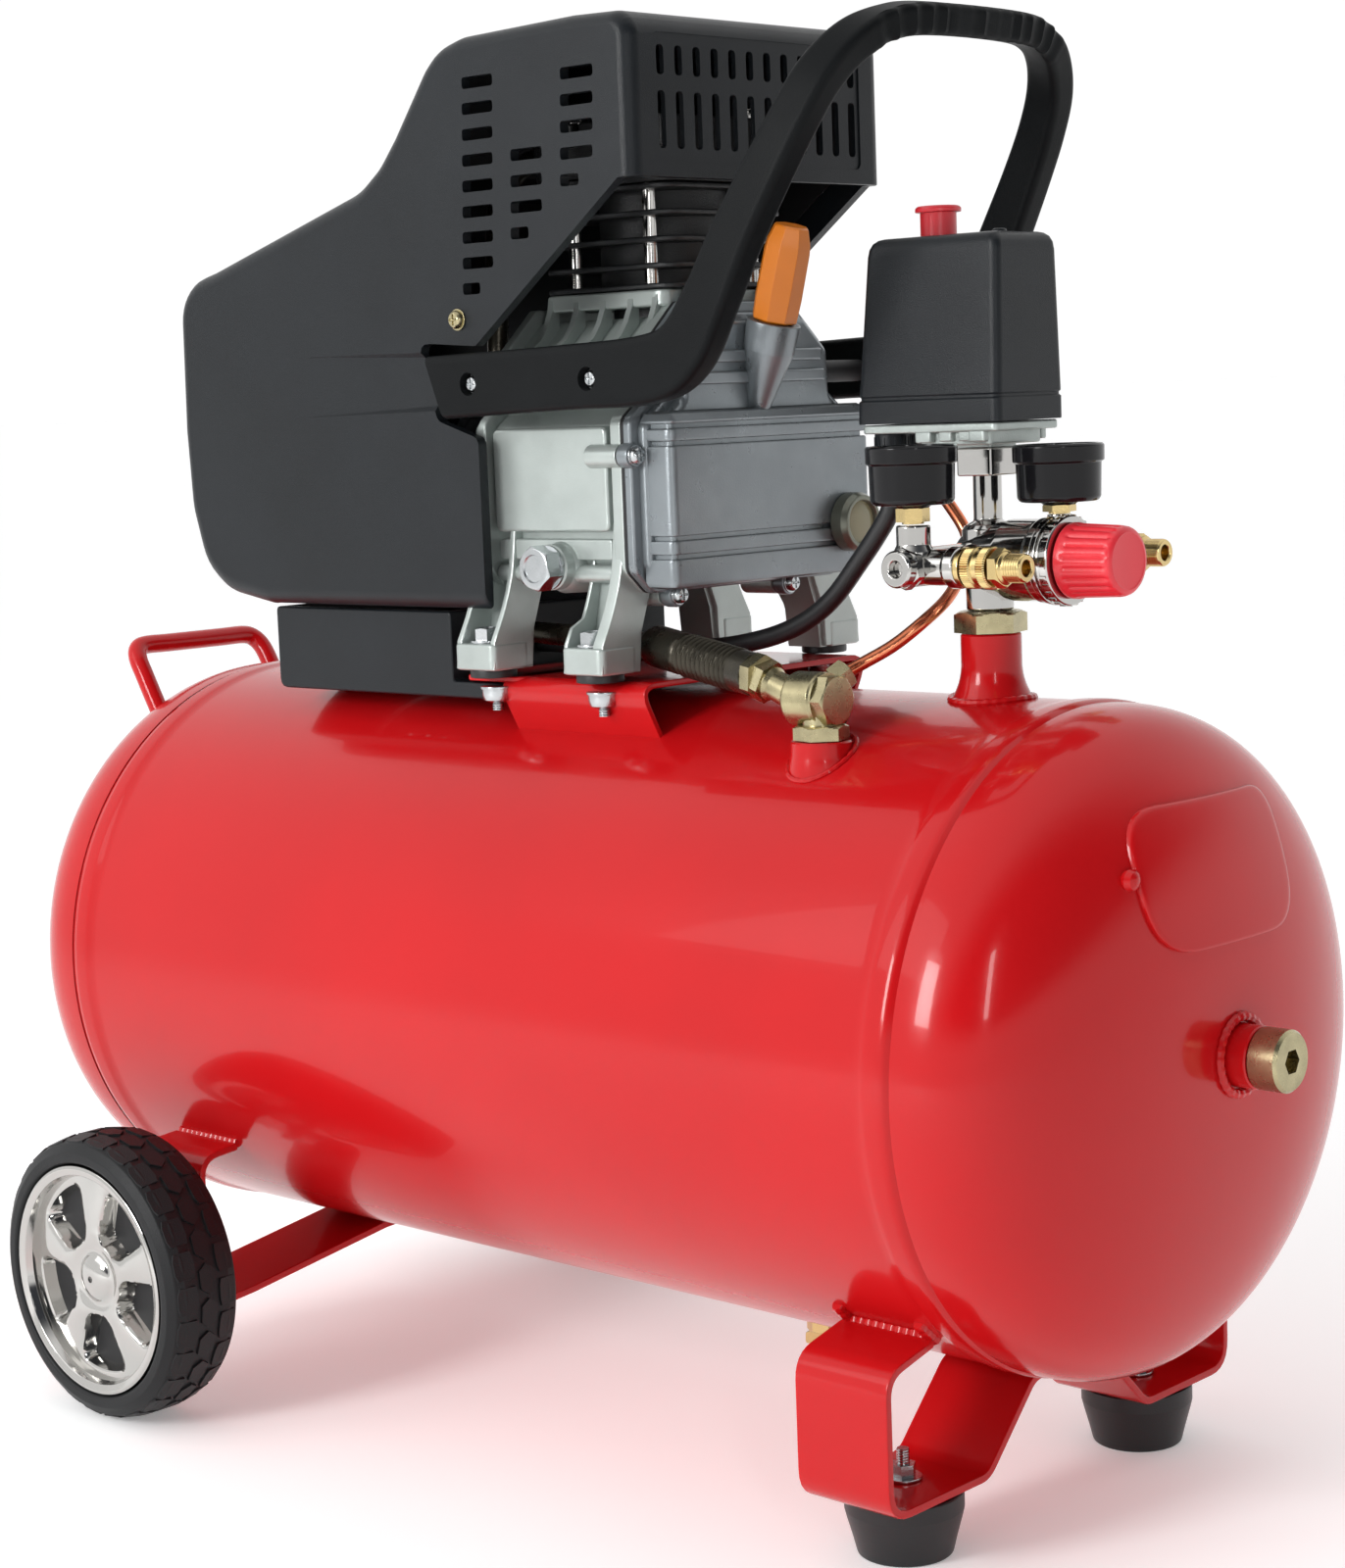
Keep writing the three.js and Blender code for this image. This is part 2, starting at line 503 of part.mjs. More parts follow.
// The outline (x, z) of the shroud's side, from the bottom of the motor part, over the top.
const SHROUD_BACK = [[-178, 194], [-212, 200], [-230, 213], [-239, 243], [-241, 285], [-239, 350],
  [-228, 363], [-210, 367], [-92, 400], [-76, 411], [-64, 424], [-41, 453], [-30, 462.5],
  [-14, 466.5], [60, 468.5], [91, 467.5]];
const SHROUD_FRONT = [[SHROUD.endX, 460], [SHROUD.endX, 393], [89, 393], [-10, 321], [-43, 323],
  [-35, 286], [-11, 278], [-11, 194]];

// Columns of slots that lean a little backwards on their way down; the last ones are short.
function slotRows(columns, pitch, height) {
  return columns.flatMap(({ from, to, top, rows }) => Array.from({ length: rows }, (_, i) => {
    const [lean, z] = [-0.7 * i, top - i * pitch];
    const end = i === rows - 1 ? from + 12 : to;
    return box(from + lean, end + lean, -100, 100, z - height / 2, z + height / 2);
  }));
}

function buildShroud() {
  const { halfWidth, wall, endX } = SHROUD;
  const inner = [[-178, 190], [-178, 197], [-210, 203], [-227, 215], [-236, 243], [-238, 285],
    [-236, 348], [-227, 360], [-209, 364], [-90, 397], [-74, 408], [-62, 421], [-39, 450],
    [-29, 459.5], [-13, 463.5], [60, 465.5], [90, 464.5], [endX - wall, 457], [endX - wall, 380], [110, 380],
    [110, 180], [-178, 180]];
  const fromAbove = rounded([[-241, -halfWidth], [endX, -halfWidth], [endX, halfWidth],
    [-241, halfWidth]], 8, { steps: 1 });
  const shell = cut(
    prism([...SHROUD_BACK, ...SHROUD_FRONT], 'y', -halfWidth, halfWidth)
      .intersect(prism(fromAbove, 'z', 180, 480)),
    prism(inner, 'y', 2 * wall - halfWidth, halfWidth - 2 * wall),
    box(-228, endX - 9, wall - halfWidth, halfWidth - wall, 180, 345),
    box(-30, endX - 9, wall - halfWidth, halfWidth - wall, 300, 455));
  const sideSlots = slotRows([
    { from: -11, to: 10, top: 447, rows: 9 },
    { from: 20, to: 41, top: 411, rows: 4 },
    { from: 55, to: 76, top: 445, rows: 5 }], 12, 5.5);
  const endSlots = Array.from({ length: 12 }, (_, i) => (i - 5.5) * 12.3).flatMap((y) => [
    box(endX - 8, endX + 8, y - 2.5, y + 2.5, 439, 452.5),
    box(endX - 8, endX + 8, y - 2.5, y + 2.5, 406, 432)]);
  const rearSlots = Array.from({ length: 6 }, (_, i) =>
    box(-250, -230, -50, 50, 262 + i * 13, 268 + i * 13));
  add('shroud', cut(shell, ...sideSlots, ...endSlots, ...rearSlots), blackPlastic);

  const housing = [[-185, 192], [-50, 192], [-50, 157], [-16, 157], [-16, 149], [-185, 149]];
  const hollow = [[-182, 200], [-53, 200], [-53, 154], [-19, 154], [-19, 140], [-182, 140]];
  add('lower_housing', cut(
    prism(housing, 'y', -78, 78), prism(hollow, 'y', -75, 75),
    cylinder(TANK_R + 1, -200, 0, { axis: 'x', sides: TANK_SIDES })), blackPlastic);
}

// The carry handle is an even, flattened bar, bent from one side of the pump over to the
// other: where it runs, how wide and thick it is, and which way its width points.
const HANDLE_HALF = [
  { at: [-30, -98.5, 302], size: [30, 14], width: [0.2, 0, 1] },
  { at: [60, -98.5, 304], size: [30, 14], width: [0, 0, 1] },
  { at: [112, -98.5, 306], size: [31, 14], width: [-0.15, 0, 1] },
  { at: [135, -98.5, 314], size: [29, 15], width: [-0.62, 0, 0.78] },
  { at: [152, -98, 337], size: [25, 15], width: [-0.84, 0, 0.54] },
  { at: [166, -96.5, 362], size: [23, 15], width: [-0.86, 0, 0.5] },
  { at: [183, -93, 390], size: [21, 15], width: [-0.86, 0, 0.5] },
  { at: [195.5, -89, 411], size: [20, 15], width: [-0.87, 0, 0.48] },
  { at: [205, -83, 428], size: [19.5, 15], width: [-0.9, 0, 0.42] },
  { at: [213, -71, 441.5], size: [18, 15], width: [-0.94, 0, 0.34] },
  { at: [219, -54, 449.5], size: [17, 14], width: [-0.98, 0, 0.2] },
  { at: [222, -30, 452.5], size: [18, 14], width: [-0.98, 0, 0.18] },
];

function buildCarryHandle() {
  const other = HANDLE_HALF.map(({ at: [x, y, z], size, width }) => ({ at: [x, -y, z], size, width }));
  const stations = [...HANDLE_HALF, ...other.reverse()];
  const points = stations.map(({ at }) => new THREE.Vector3(...at));
  const rings = stations.map(({ size, width }, i) => {
    const before = points[Math.max(i - 1, 0)];
    const after = points[Math.min(i + 1, points.length - 1)];
    const ahead = after.clone().sub(before).normalize();
    const thick = new THREE.Vector3().crossVectors(ahead, new THREE.Vector3(...width)).normalize();
    const wide = new THREE.Vector3().crossVectors(thick, ahead);
    const [a, b] = [size[0] / 2, size[1] / 2];
    const corner = 0.55;
    return [[a, b * corner], [a * 0.8, b], [-a * 0.8, b], [-a, b * corner], [-a, -b * corner],
      [-a * 0.8, -b], [a * 0.8, -b], [a, -b * corner]].map(([u, v]) =>
      points[i].clone().addScaledVector(wide, u).addScaledVector(thick, v));
  });
  const screwHoles = [HANDLE_SCREWS.case, HANDLE_SCREWS.cover].map((x) =>
    cylinder(2.6, -110, 110, { axis: 'y', at: [x, 0, HANDLE_SCREWS.z], sides: 6 }));
  add('carry_handle', cut(loft(rings), ...screwHoles), blackPlastic);
}

// ---- air lines ---------------------------------------------------------------------------------------------
function buildAirLines() {
  const inlet = { axis: 'x', at: [-13 - GAP, 22, 411], sides: 16 };
  add('intake_filter', turned([[0, -34], [15, -34], [15, -8], [8, -8], [8, 0], [0, 0]], inlet),
    blackPlastic);
  const muffler = [[147, -72.5, 166.5], [62, -50, 176]];
  const lead = [[64, -50.5, 176], [20, -47, 179], [-12, -45, 179], [-32, -45, 182], [-41, -45, 194],
    [-42, -45, 240], [-42, -44, 330], [-42, -41, 385], [-38, -35, 402], [-30, -30, 410],
    [-22, -30, 411], [-14, -30, 411]];
  add('discharge_pipe', union(
    bar(muffler, 10.5, { sides: 12, steps: 1 }), bar(lead, 5.5, { steps: 18 })), darkIron);

  const { x, y } = INLET;
  const body = { axis: 'x', at: [0, y + 1, 157], sides: 16 };
  add('check_valve', union(
    cylinder(8.5, INLET.top + GAP, 158, { at: [x, y, 0], sides: 16 }),
    hexagon(22, INLET.top + GAP, INLET.top + 7, { at: [x, y, 0] }),
    cylinder(12.5, x - 15, x + 3, body), hexagon(21.5, x + 3, x + 10, body),
    bar([[x - 12, y + 1, 157], [151, -73.5, 166]], 8, { sides: 12, steps: 1 }),
    bar([[x - 8, y + 7, 158], [x - 2, y + 22, 167.5]], 6.5, { sides: 6, steps: 1 })), yellowZinc);
  add('unloader_tube', bar([[x - 1.8, y + 22.6, 167.8], [188, -45, 171], [197, -35, 178],
    [205, -25, 187], [206, -8, 196], [203.5, 5, 204], [201, 14, 213], [198, 20, 225], [190, 19, 238],
    [183, 15, 249], [GLAND.x, GLAND.y, 257], [GLAND.x, GLAND.y, GLAND.bottom - GAP]], 3,
    { sides: 6, steps: 24 }), copper);

  add('riser_nut', cut(hexagon(29, RISER.top + GAP, 192, { at: [RISER.x, 0, 0] }),
    cylinder(8, 170, 200, { at: [RISER.x, 0, 0], sides: 16 })), yellowZinc);
}

const OUTLET = { ys: [-50, 55], x: 250, length: 34 };

function buildManifold() {
  const z = MANIFOLD_Z;
  const up = { at: [RISER.x, 0, 0], sides: 12 };
  const across = { axis: 'y', at: [RISER.x, 0, z], sides: 12 };
  const ports = OUTLET.ys.map((y) => cylinder(8, RISER.x, OUTLET.x, { axis: 'x', at: [0, y, z], sides: 12 }));
  add('manifold', union(
    cylinder(10.8, 192 + GAP, z, up), cylinder(6.5, z, 254, up), cylinder(12, z - 4, z + 16, up),
    turned([[0, 213.5], [12, 213.5], [16, 227], [18.5, 246], [18.5, BONNET_X], [0, BONNET_X]],
      { axis: 'x', at: [0, 0, z] }),
    cylinder(8.6, -66, 66, across), hexagon(16.5, -68, -58, across),
    cylinder(8, z, GAUGE.stem - GAP, { at: [RISER.x - 1, -53, 0], sides: 12 }),
    box(RISER.x - 10, RISER.x + 10, -10, 10, 253, 266 - GAP), ...ports), chrome);

  add('regulator_bonnet', turned([[0, BONNET_X + GAP], [20, BONNET_X + GAP], [20, 265], [18.5, 265.5],
    [18.5, 267.5], [20, 268], [20, 272], [10.5, 272], [10.5, 291], [0, 291]],
    { axis: 'x', at: [0, 0, z], sides: 20 }), chrome);
  add('regulator_knob', turned([[0, 292], [11, 292], [11, 272.6], [17, 272.6], [15.8, 299],
    [14, 302], [0, 302]], { axis: 'x', at: [0, 0, z], sides: 20 }), redPlastic);

  const gauge = (name, x, y, stemFoot, bottom, top) => add(name, turned(
    [[0, stemFoot], [5, stemFoot], [5, stemFoot + 1], [7.5, stemFoot + 2], [7.5, bottom],
      [GAUGE.r - 1, bottom], [GAUGE.r, top - 6], [GAUGE.r, top], [0, top]],
    { at: [x, y, 0], sides: 20 }), blackPlastic);
  gauge('gauge_left', RISER.x - 1, -53, GAUGE.stem, GAUGE.bottom + 1.5, GAUGE.top + 2);
  gauge('gauge_right', RISER.x + 38, 2, GAUGE.stem + 1.6, GAUGE.bottom, GAUGE.top);

  OUTLET.ys.forEach((y, i) => {
    const [name] = SIDES[i];
    const at = { axis: 'x', at: [OUTLET.x, y, z], sides: 12 };
    add(`outlet_${name}`, turned([[0, GAP], [9, GAP], [9, 3.2], [5.2, 3.2], [5.2, 18], [7.5, 18],
      [7.5, 23.5], [6.3, 24.5], [6.3, OUTLET.length], [3.5, OUTLET.length], [3.5, 26], [0, 26]], at),
    brass);
    add(`outlet_sleeve_${name}`, ring(9.3, 5.6, 3.7, 17.4, at), brass);
  });
  add('safety_valve', turned([[0, 66 + GAP], [7, 66 + GAP], [7, 72], [9, 72], [9, 80], [6.5, 81], [6.5, 92],
    [3, 92], [3, 99], [0, 99]], across), brass);
}

// ---- pressure switch ---------------------------------------------------------------------------------------------
function buildSwitch() {
  const glands = SIDES.map(([, side]) => cylinder(GLAND.r, GLAND.bottom, SWITCH.bottom - 1,
    { at: [GLAND.x, side * GLAND.y, 0], sides: 12 }));
  add('switch_base', union(
    box(216, 236, -10, 10, 266, 268), box(203, 243, -20, 20, 267, 274),
    box(173, 249.5, -23.5, 23.5, 273, SWITCH.bottom), ...glands), castAluminium);
  const rings = (wall) => [
    [SWITCH.bottom + GAP - (wall ? 2 : 0), 171, 251.5, 25], [290, 171.5, 251.5, 25],
    [SWITCH.top - 4 - wall, 177.5, 251, 22.5], [SWITCH.top - wall, 181, 248, 20]]
    .map(([z, x0, x1, half]) => rectangle(x0 + wall, x1 - wall, wall - half, half - wall, 3)
      .map(([x, y]) => new THREE.Vector3(x, y, z)));
  const at = { at: [BUTTON.x, 0, 0], sides: 16 };
  add('switch_cover', cut(loft(rings(0)), loft(rings(2.5)),
    cylinder(BUTTON.stem + 0.5, 336, 380, at)), blackPlastic);
  add('switch_button', turned([[0, 343], [BUTTON.stem, 343], [BUTTON.stem, BUTTON.top - 3],
    [BUTTON.flange, BUTTON.top - 3], [BUTTON.flange, BUTTON.top], [0, BUTTON.top]], at), redPlastic);

  add('motor_cable', bar([[GLAND.x, -GLAND.y, GLAND.bottom - GAP], [GLAND.x, -GLAND.y, 250],
    [179.5, -12.5, 238], [172, -13, 227], [160, -13.5, 213], [146, -14, 198], [131, -14.5, 187.5],
    [113, -15, 180], [92, -15, 175], [70, -15, 172], [45, -15, 171], [20, -15, 171],
    [-8, -15, 171], [-30, -15, 171], [-49.5, -15, 171]], 4.7, { steps: 26 }), rubber);
}

buildTank();
buildStraps();
buildFeetAndWheels();
buildTowHandle();
buildMotorPlate();
buildCrankcase();
buildCylinder();
buildMotor();
buildShroud();
buildCarryHandle();
buildAirLines();
buildManifold();
buildSwitch();

export default compressor;
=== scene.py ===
# Looks for the wheeled piston air compressor: smooth surfaces, details and materials over its
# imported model. Lengths in the shape code are millimetres from the middle of the tank's axis,
# with +X to the end with the feet, -Y to the front and +Z up; place() puts them in the frame.
import json
from math import acos, atan, atan2, cos, exp, hypot, pi, radians, sin, sqrt, tan, tau

import bmesh
import bpy
from mathutils import Matrix, Vector


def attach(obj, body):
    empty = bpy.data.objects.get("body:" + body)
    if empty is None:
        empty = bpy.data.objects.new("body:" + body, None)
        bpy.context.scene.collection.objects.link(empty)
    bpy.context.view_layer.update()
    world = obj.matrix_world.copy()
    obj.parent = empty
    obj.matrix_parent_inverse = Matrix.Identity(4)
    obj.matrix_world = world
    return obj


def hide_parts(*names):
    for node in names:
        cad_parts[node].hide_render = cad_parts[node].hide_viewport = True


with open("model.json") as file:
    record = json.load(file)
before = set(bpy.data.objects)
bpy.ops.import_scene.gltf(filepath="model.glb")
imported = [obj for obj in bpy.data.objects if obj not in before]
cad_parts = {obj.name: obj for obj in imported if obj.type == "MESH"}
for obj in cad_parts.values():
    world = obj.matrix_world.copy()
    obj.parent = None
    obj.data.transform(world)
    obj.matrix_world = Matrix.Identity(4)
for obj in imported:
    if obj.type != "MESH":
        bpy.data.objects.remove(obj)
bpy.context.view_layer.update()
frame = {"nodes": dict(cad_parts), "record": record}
scene = bpy.context.scene

AXIS_HEIGHT, CENTRE_X = 222.3, 10.0


def place(point):
    x, y, z = point
    return Vector(((x - CENTRE_X) / 1000, y / 1000, (z + AXIS_HEIGHT) / 1000))


# ---- camera ----
def make_camera(eye, yaw, pitch, roll, lens, shift):
    data = bpy.data.cameras.new("camera")
    data.sensor_fit, data.sensor_height, data.lens = "VERTICAL", 36.0, lens
    data.shift_x, data.shift_y = shift
    data.clip_end = 1000
    camera = bpy.data.objects.new("camera", data)
    turn = Matrix.Rotation(yaw, 4, "Z") @ Matrix.Rotation(pi / 2 - pitch, 4, "X")
    camera.matrix_world = Matrix.Translation(eye) @ turn @ Matrix.Rotation(roll, 4, "Z")
    scene.collection.objects.link(camera)
    scene.camera = camera


make_camera(place((1055.46, -1094.07, 293.99)), radians(43.27), radians(7.77), radians(-2.21), 69.17,
    (-0.0021, 0.0145))


# ---- shapes ----
class Shape:
    """Corners in millimetres and the faces between them; shapes add up with +."""

    def __init__(self, corners, faces):
        self.corners = [Vector(c) for c in corners]
        self.faces = [tuple(f) for f in faces]

    def __add__(self, other):
        n = len(self.corners)
        return Shape(self.corners + other.corners, self.faces + [tuple(i + n for i in f)
            for f in other.faces])

    def moved(self, matrix):
        return Shape([matrix @ c for c in self.corners], self.faces)

    def at(self, x, y, z):
        return self.moved(Matrix.Translation((x, y, z)))


def total(shapes):
    shapes = list(shapes)
    result = shapes[0]
    for shape in shapes[1:]:
        result = result + shape
    return result


ALONG = {"x": Matrix(((0, 0, 1, 0), (1, 0, 0, 0), (0, 1, 0, 0), (0, 0, 0, 1))),
    "y": Matrix(((0, 1, 0, 0), (0, 0, 1, 0), (1, 0, 0, 0), (0, 0, 0, 1))), "z": Matrix.Identity(4)}


def skin(rings, closed=False):
    """Faces between rings of equally many points; the ends are closed or joined up."""
    count, n = len(rings[0]), len(rings)
    faces = []
    for k in range(n if closed else n - 1):
        a, b = k * count, ((k + 1) % n) * count
        faces += [(a + i, a + (i + 1) % count, b + (i + 1) % count, b + i) for i in range(count)]
    if not closed:
        faces += [tuple(range(count))[::-1], tuple(range((n - 1) * count, n * count))]
    return Shape([p for ring in rings for p in ring], faces)


def pose(at, turn, axis):
    """A turn about an axis, then the move to a point."""
    return Matrix.Translation(at) @ Matrix.Rotation(turn, 4, axis)


def ring_of(r, h, sides, phase=0.0):
    """Points evenly spaced round +Z."""
    return [(r * cos(t + phase), r * sin(t + phase), h) for t in turns(sides)]


def turned(profile, sides=48, axis="z", at=(0, 0, 0), lean=0.0, phase=0.0):
    """A profile of (radius, distance along the axis) turned round the axis."""
    shape = skin([ring_of(max(r, 0.01), h, sides, phase) for r, h in profile], closed=profile[0][0] > 0.01)
    return shape.moved(pose(at, lean, "Y") @ ALONG[axis])


def turns(count):
    """Evenly spaced angles."""
    return [tau * k / count for k in range(count)]


def solid(*corners):
    """A profile of corners (radius, distance along the axis) that closes on the axis."""
    return [(0, corners[0][1]), *corners, (0, corners[-1][1])]


def rod(r, h0, h1):
    return solid((r, h0), (r, h1))


def lathe(corners, radii, sides=48, axis="z", at=(0, 0, 0), steps=2):
    """A profile turned round an axis, with its corners rounded first."""
    return turned(rounded(corners, radii, closed=False, steps=steps), sides, axis, at)


def hexagon(flats, h0, h1, axis="z", at=(0, 0, 0)):
    return turned(rod(flats / sqrt(3), h0, h1), 6, axis, at)


def rounded(points, radius, closed=True, steps=6):
    """Turns the corners of a line of (u, v) points into arcs of short chords."""
    pts = [Vector(p) for p in points]
    radii = radius if isinstance(radius, (list, tuple)) else [radius] * len(pts)
    line = []
    for i, corner in enumerate(pts):
        before, after = pts[i - 1], pts[(i + 1) % len(pts)]
        if (not closed and i in (0, len(pts) - 1)) or radii[i] <= 0:
            line.append(corner)
            continue
        back, on = (before - corner).normalized(), (after - corner).normalized()
        half = acos(max(-1, min(1, back.dot(on)))) / 2
        room = min((before - corner).length, (after - corner).length) * 0.499
        reach = min(radii[i] / max(tan(half), 1e-3), room)
        start, end = corner + back * reach, corner + on * reach
        for k in range(steps + 1):
            t = k / steps
            line.append(start * (1 - t) ** 2 + corner * (2 * t * (1 - t)) + end * t ** 2)
    return [tuple(p) for p in line]


def rectangle(u0, u1, v0, v1, radius=0.0, steps=4):
    corners = [(u0, v0), (u1, v0), (u1, v1), (u0, v1)]
    return rounded(corners, radius, steps=steps) if radius else corners


PUSH = {"x": lambda u, v, w: (w, u, v), "y": lambda u, v, w: (u, w, v), "z": lambda u, v, w: (u, v, w)}


def prism(outline, axis, a, b):
    """An outline pushed along an axis: its points are (y, z), (x, z) or (x, y)."""
    return skin([[PUSH[axis](u, v, w) for u, v in outline] for w in (a, b)])


def box(x0, x1, y0, y1, z0, z1):
    return prism(rectangle(x0, x1, y0, y1), "z", z0, z1)


def strip(line, thick):
    """The outline of a bent strip of even thickness, from the line through its middle."""
    pts = [Vector(p) for p in line]
    left, right = [], []
    for i, p in enumerate(pts):
        ahead = (pts[min(i + 1, len(pts) - 1)] - pts[max(i - 1, 0)]).normalized()
        across = Vector((-ahead.y, ahead.x)) * thick / 2
        left.append(tuple(p + across))
        right.append(tuple(p - across))
    return left + right[::-1]


def smooth_line(points, steps=6, closed=False):
    """A smooth curve through the points."""
    pts = [Vector(p) for p in points]
    n = len(pts)
    line = []
    for i in range(n if closed else n - 1):
        p1, p2 = pts[i], pts[(i + 1) % n]
        p0 = pts[i - 1] if i or closed else p1 * 2 - p2
        p3 = pts[(i + 2) % n] if i + 2 < n or closed else p2 * 2 - p1
        for k in range(steps):
            t = k / steps
            line.append(0.5 * (2 * p1 + (p2 - p0) * t + (2 * p0 - 5 * p1 + 4 * p2 - p3) * t ** 2
                + (3 * p1 - p0 - 3 * p2 + p3) * t ** 3))
    return line if closed else line + [pts[-1]]


def tube(points, radius, sides=16, steps=6, closed=False):
    """A round bar along a smooth line; radius is a number, or a function of the share covered."""
    line = smooth_line(points, steps, closed)
    n = len(line)
    rings, side = [], None
    for i, p in enumerate(line):
        ahead = (line[(i + 1) % n] - line[i - 1]) if closed else (line[min(i + 1, n - 1)]
            - line[max(i - 1, 0)])
        ahead.normalize()
        side = side or ahead.orthogonal()
        side = (side - ahead * side.dot(ahead)).normalized()
        up = ahead.cross(side)
        r = radius(i / (n - 1)) if callable(radius) else radius
        rings.append([p + (side * cos(tau * k / sides) + up * sin(tau * k / sides)) * r
            for k in range(sides)])
    return skin(rings, closed=closed)


def bead(points, r, closed=False):
    """A weld bead: a lumpy bar of small overlapping ripples, 4 mm apart."""
    length = sum((Vector(b) - Vector(a)).length for a, b in zip(points, points[1:]))
    waves = max(2, round(length / 4))
    return tube(points, lambda t: r * (0.82 + 0.22 * abs(sin(pi * waves * t))), sides=8,
        steps=max(2, round(4 * waves / max(1, len(points) - 1))), closed=closed)


# ---- materials ----
def material(name, color, rough, metal=0.0, coat=0.0, grain=(900.0, 0.03), mottle=(25.0, 0.06),
        rough_spread=0.06, specular=0.5):
    """A surface with fine grain in its bump and slow changes in its colour and gloss."""
    made = bpy.data.materials.new(name)
    made.use_nodes = True
    nodes, links = made.node_tree.nodes, made.node_tree.links
    shader = nodes["Principled BSDF"]
    for key, value in (("Metallic", metal), ("Coat Weight", coat), ("Coat Roughness", 0.04),
            ("Specular IOR Level", specular)):
        shader.inputs[key].default_value = value
    where = nodes.new("ShaderNodeTexCoord")

    def noise(scale, detail):
        node = nodes.new("ShaderNodeTexNoise")
        node.inputs["Scale"].default_value = scale
        node.inputs["Detail"].default_value = detail
        links.new(where.outputs["Object"], node.inputs["Vector"])
        return node.outputs["Fac"]

    slow = noise(mottle[0], 3)
    ramp = nodes.new("ShaderNodeValToRGB")
    ramp.color_ramp.elements[0].position, ramp.color_ramp.elements[1].position = 0.3, 0.7
    for element, share in zip(ramp.color_ramp.elements, (1 - mottle[1], 1 + mottle[1])):
        element.color = [min(1, c * share) for c in color] + [1]
    links.new(slow, ramp.inputs["Fac"])
    links.new(ramp.outputs["Color"], shader.inputs["Base Color"])
    spread = nodes.new("ShaderNodeMapRange")
    spread.inputs["To Min"].default_value = max(0.02, rough - rough_spread)
    spread.inputs["To Max"].default_value = rough + rough_spread
    links.new(noise(mottle[0] * 2.7, 4), spread.inputs["Value"])
    links.new(spread.outputs["Result"], shader.inputs["Roughness"])
    bump = nodes.new("ShaderNodeBump")
    bump.inputs["Strength"].default_value = grain[1]
    bump.inputs["Distance"].default_value = 0.001
    links.new(noise(grain[0], 2), bump.inputs["Height"])
    links.new(bump.outputs["Normal"], shader.inputs["Normal"])
    return made


LOOKS = {}


def look(name, *rest, **more):
    LOOKS[name] = material(name, *rest, **more)


look("red_paint", (0.50, 0.0055, 0.0075), 0.20, coat=0.30, grain=(130, 0.09), mottle=(8, 0.05),
    rough_spread=0.04, specular=0.18)
look("black_plastic", (0.0075, 0.0095, 0.0118), 0.34, grain=(2200, 0.20), mottle=(14, 0.18),
    rough_spread=0.07, specular=0.27)
look("handle_black", (0.0050, 0.0058, 0.0064), 0.46, grain=(1800, 0.18), mottle=(20, 0.15), specular=0.09)
look("gloss_black", (0.006, 0.006, 0.007), 0.14, grain=(700, 0.03), rough_spread=0.03, specular=0.3)
look("cast_aluminium", (0.42, 0.465, 0.445), 0.32, metal=0.5, grain=(1500, 0.14), mottle=(40, 0.08),
    rough_spread=0.08)
# The cover's grey: the cast aluminium darkened as painted shade, for the shadow the cover sits in.
look("cover_painted_shade_grey", (0.235, 0.26, 0.275), 0.30, metal=0.6, grain=(1500, 0.12), mottle=(40, 0.08),
    rough_spread=0.08)
look("black_iron", (0.012, 0.013, 0.014), 0.42, grain=(1500, 0.3))
look("bronze_tube", (0.050, 0.044, 0.032), 0.28, metal=0.7, grain=(800, 0.1), mottle=(60, 0.25))
look("chrome", (0.52, 0.51, 0.49), 0.10, metal=1.0, grain=(300, 0.01), mottle=(30, 0.03), rough_spread=0.02)
look("brass", (0.66, 0.50, 0.23), 0.20, metal=1.0, grain=(900, 0.05), mottle=(60, 0.08))
look("yellow_zinc", (0.42, 0.37, 0.22), 0.28, metal=1.0, grain=(900, 0.06), mottle=(90, 0.18))
look("zinc", (0.50, 0.52, 0.53), 0.25, metal=1.0, grain=(900, 0.06), mottle=(90, 0.10))
look("steel", (0.40, 0.41, 0.42), 0.32, metal=1.0, grain=(700, 0.08))
look("copper", (0.72, 0.22, 0.11), 0.22, metal=0.95, grain=(500, 0.03), mottle=(60, 0.12))
look("tyre_rubber", (0.0085, 0.009, 0.010), 0.48, grain=(1500, 0.2), specular=0.28)
look("black_rubber", (0.008, 0.008, 0.009), 0.42, grain=(1500, 0.15))
look("red_plastic", (0.74, 0.030, 0.045), 0.30, grain=(1500, 0.05))
look("orange_plastic", (0.66, 0.18, 0.006), 0.34, grain=(1200, 0.06))
look("clear_glass", (0.30, 0.29, 0.17), 0.12, grain=(600, 0.02))
look("pale_zinc", (0.20, 0.21, 0.17), 0.3, metal=0.6, grain=(900, 0.05))
look("dial_white", (0.75, 0.75, 0.73), 0.4, grain=(900, 0.01))
# Near-black used as painted shade for the hub windows and the sheet inside the shroud; it also colours the
# handle spacers, the cover gasket's dark joint and the gauge scale's print.
look("painted_shade_joint_and_print_black", (0.006, 0.006, 0.007), 0.6, grain=(600, 0.05))


# ---- pieces ----
MERGE_WITHIN = 2e-5      # metres
BEVELLED_CRISP = 42      # degrees


def linked(name, data):
    made = bpy.data.objects.new(name, data)
    scene.collection.objects.link(made)
    return made


def solid_object(name, shape, merge_within=0):
    mesh = bpy.data.meshes.new(name)
    mesh.from_pydata([place(c) for c in shape.corners], [], shape.faces)
    work = bmesh.new()
    work.from_mesh(mesh)
    if merge_within:
        bmesh.ops.remove_doubles(work, verts=work.verts, dist=merge_within)
    bmesh.ops.recalc_face_normals(work, faces=work.faces)
    work.to_mesh(mesh)
    work.free()
    return linked(name, mesh)


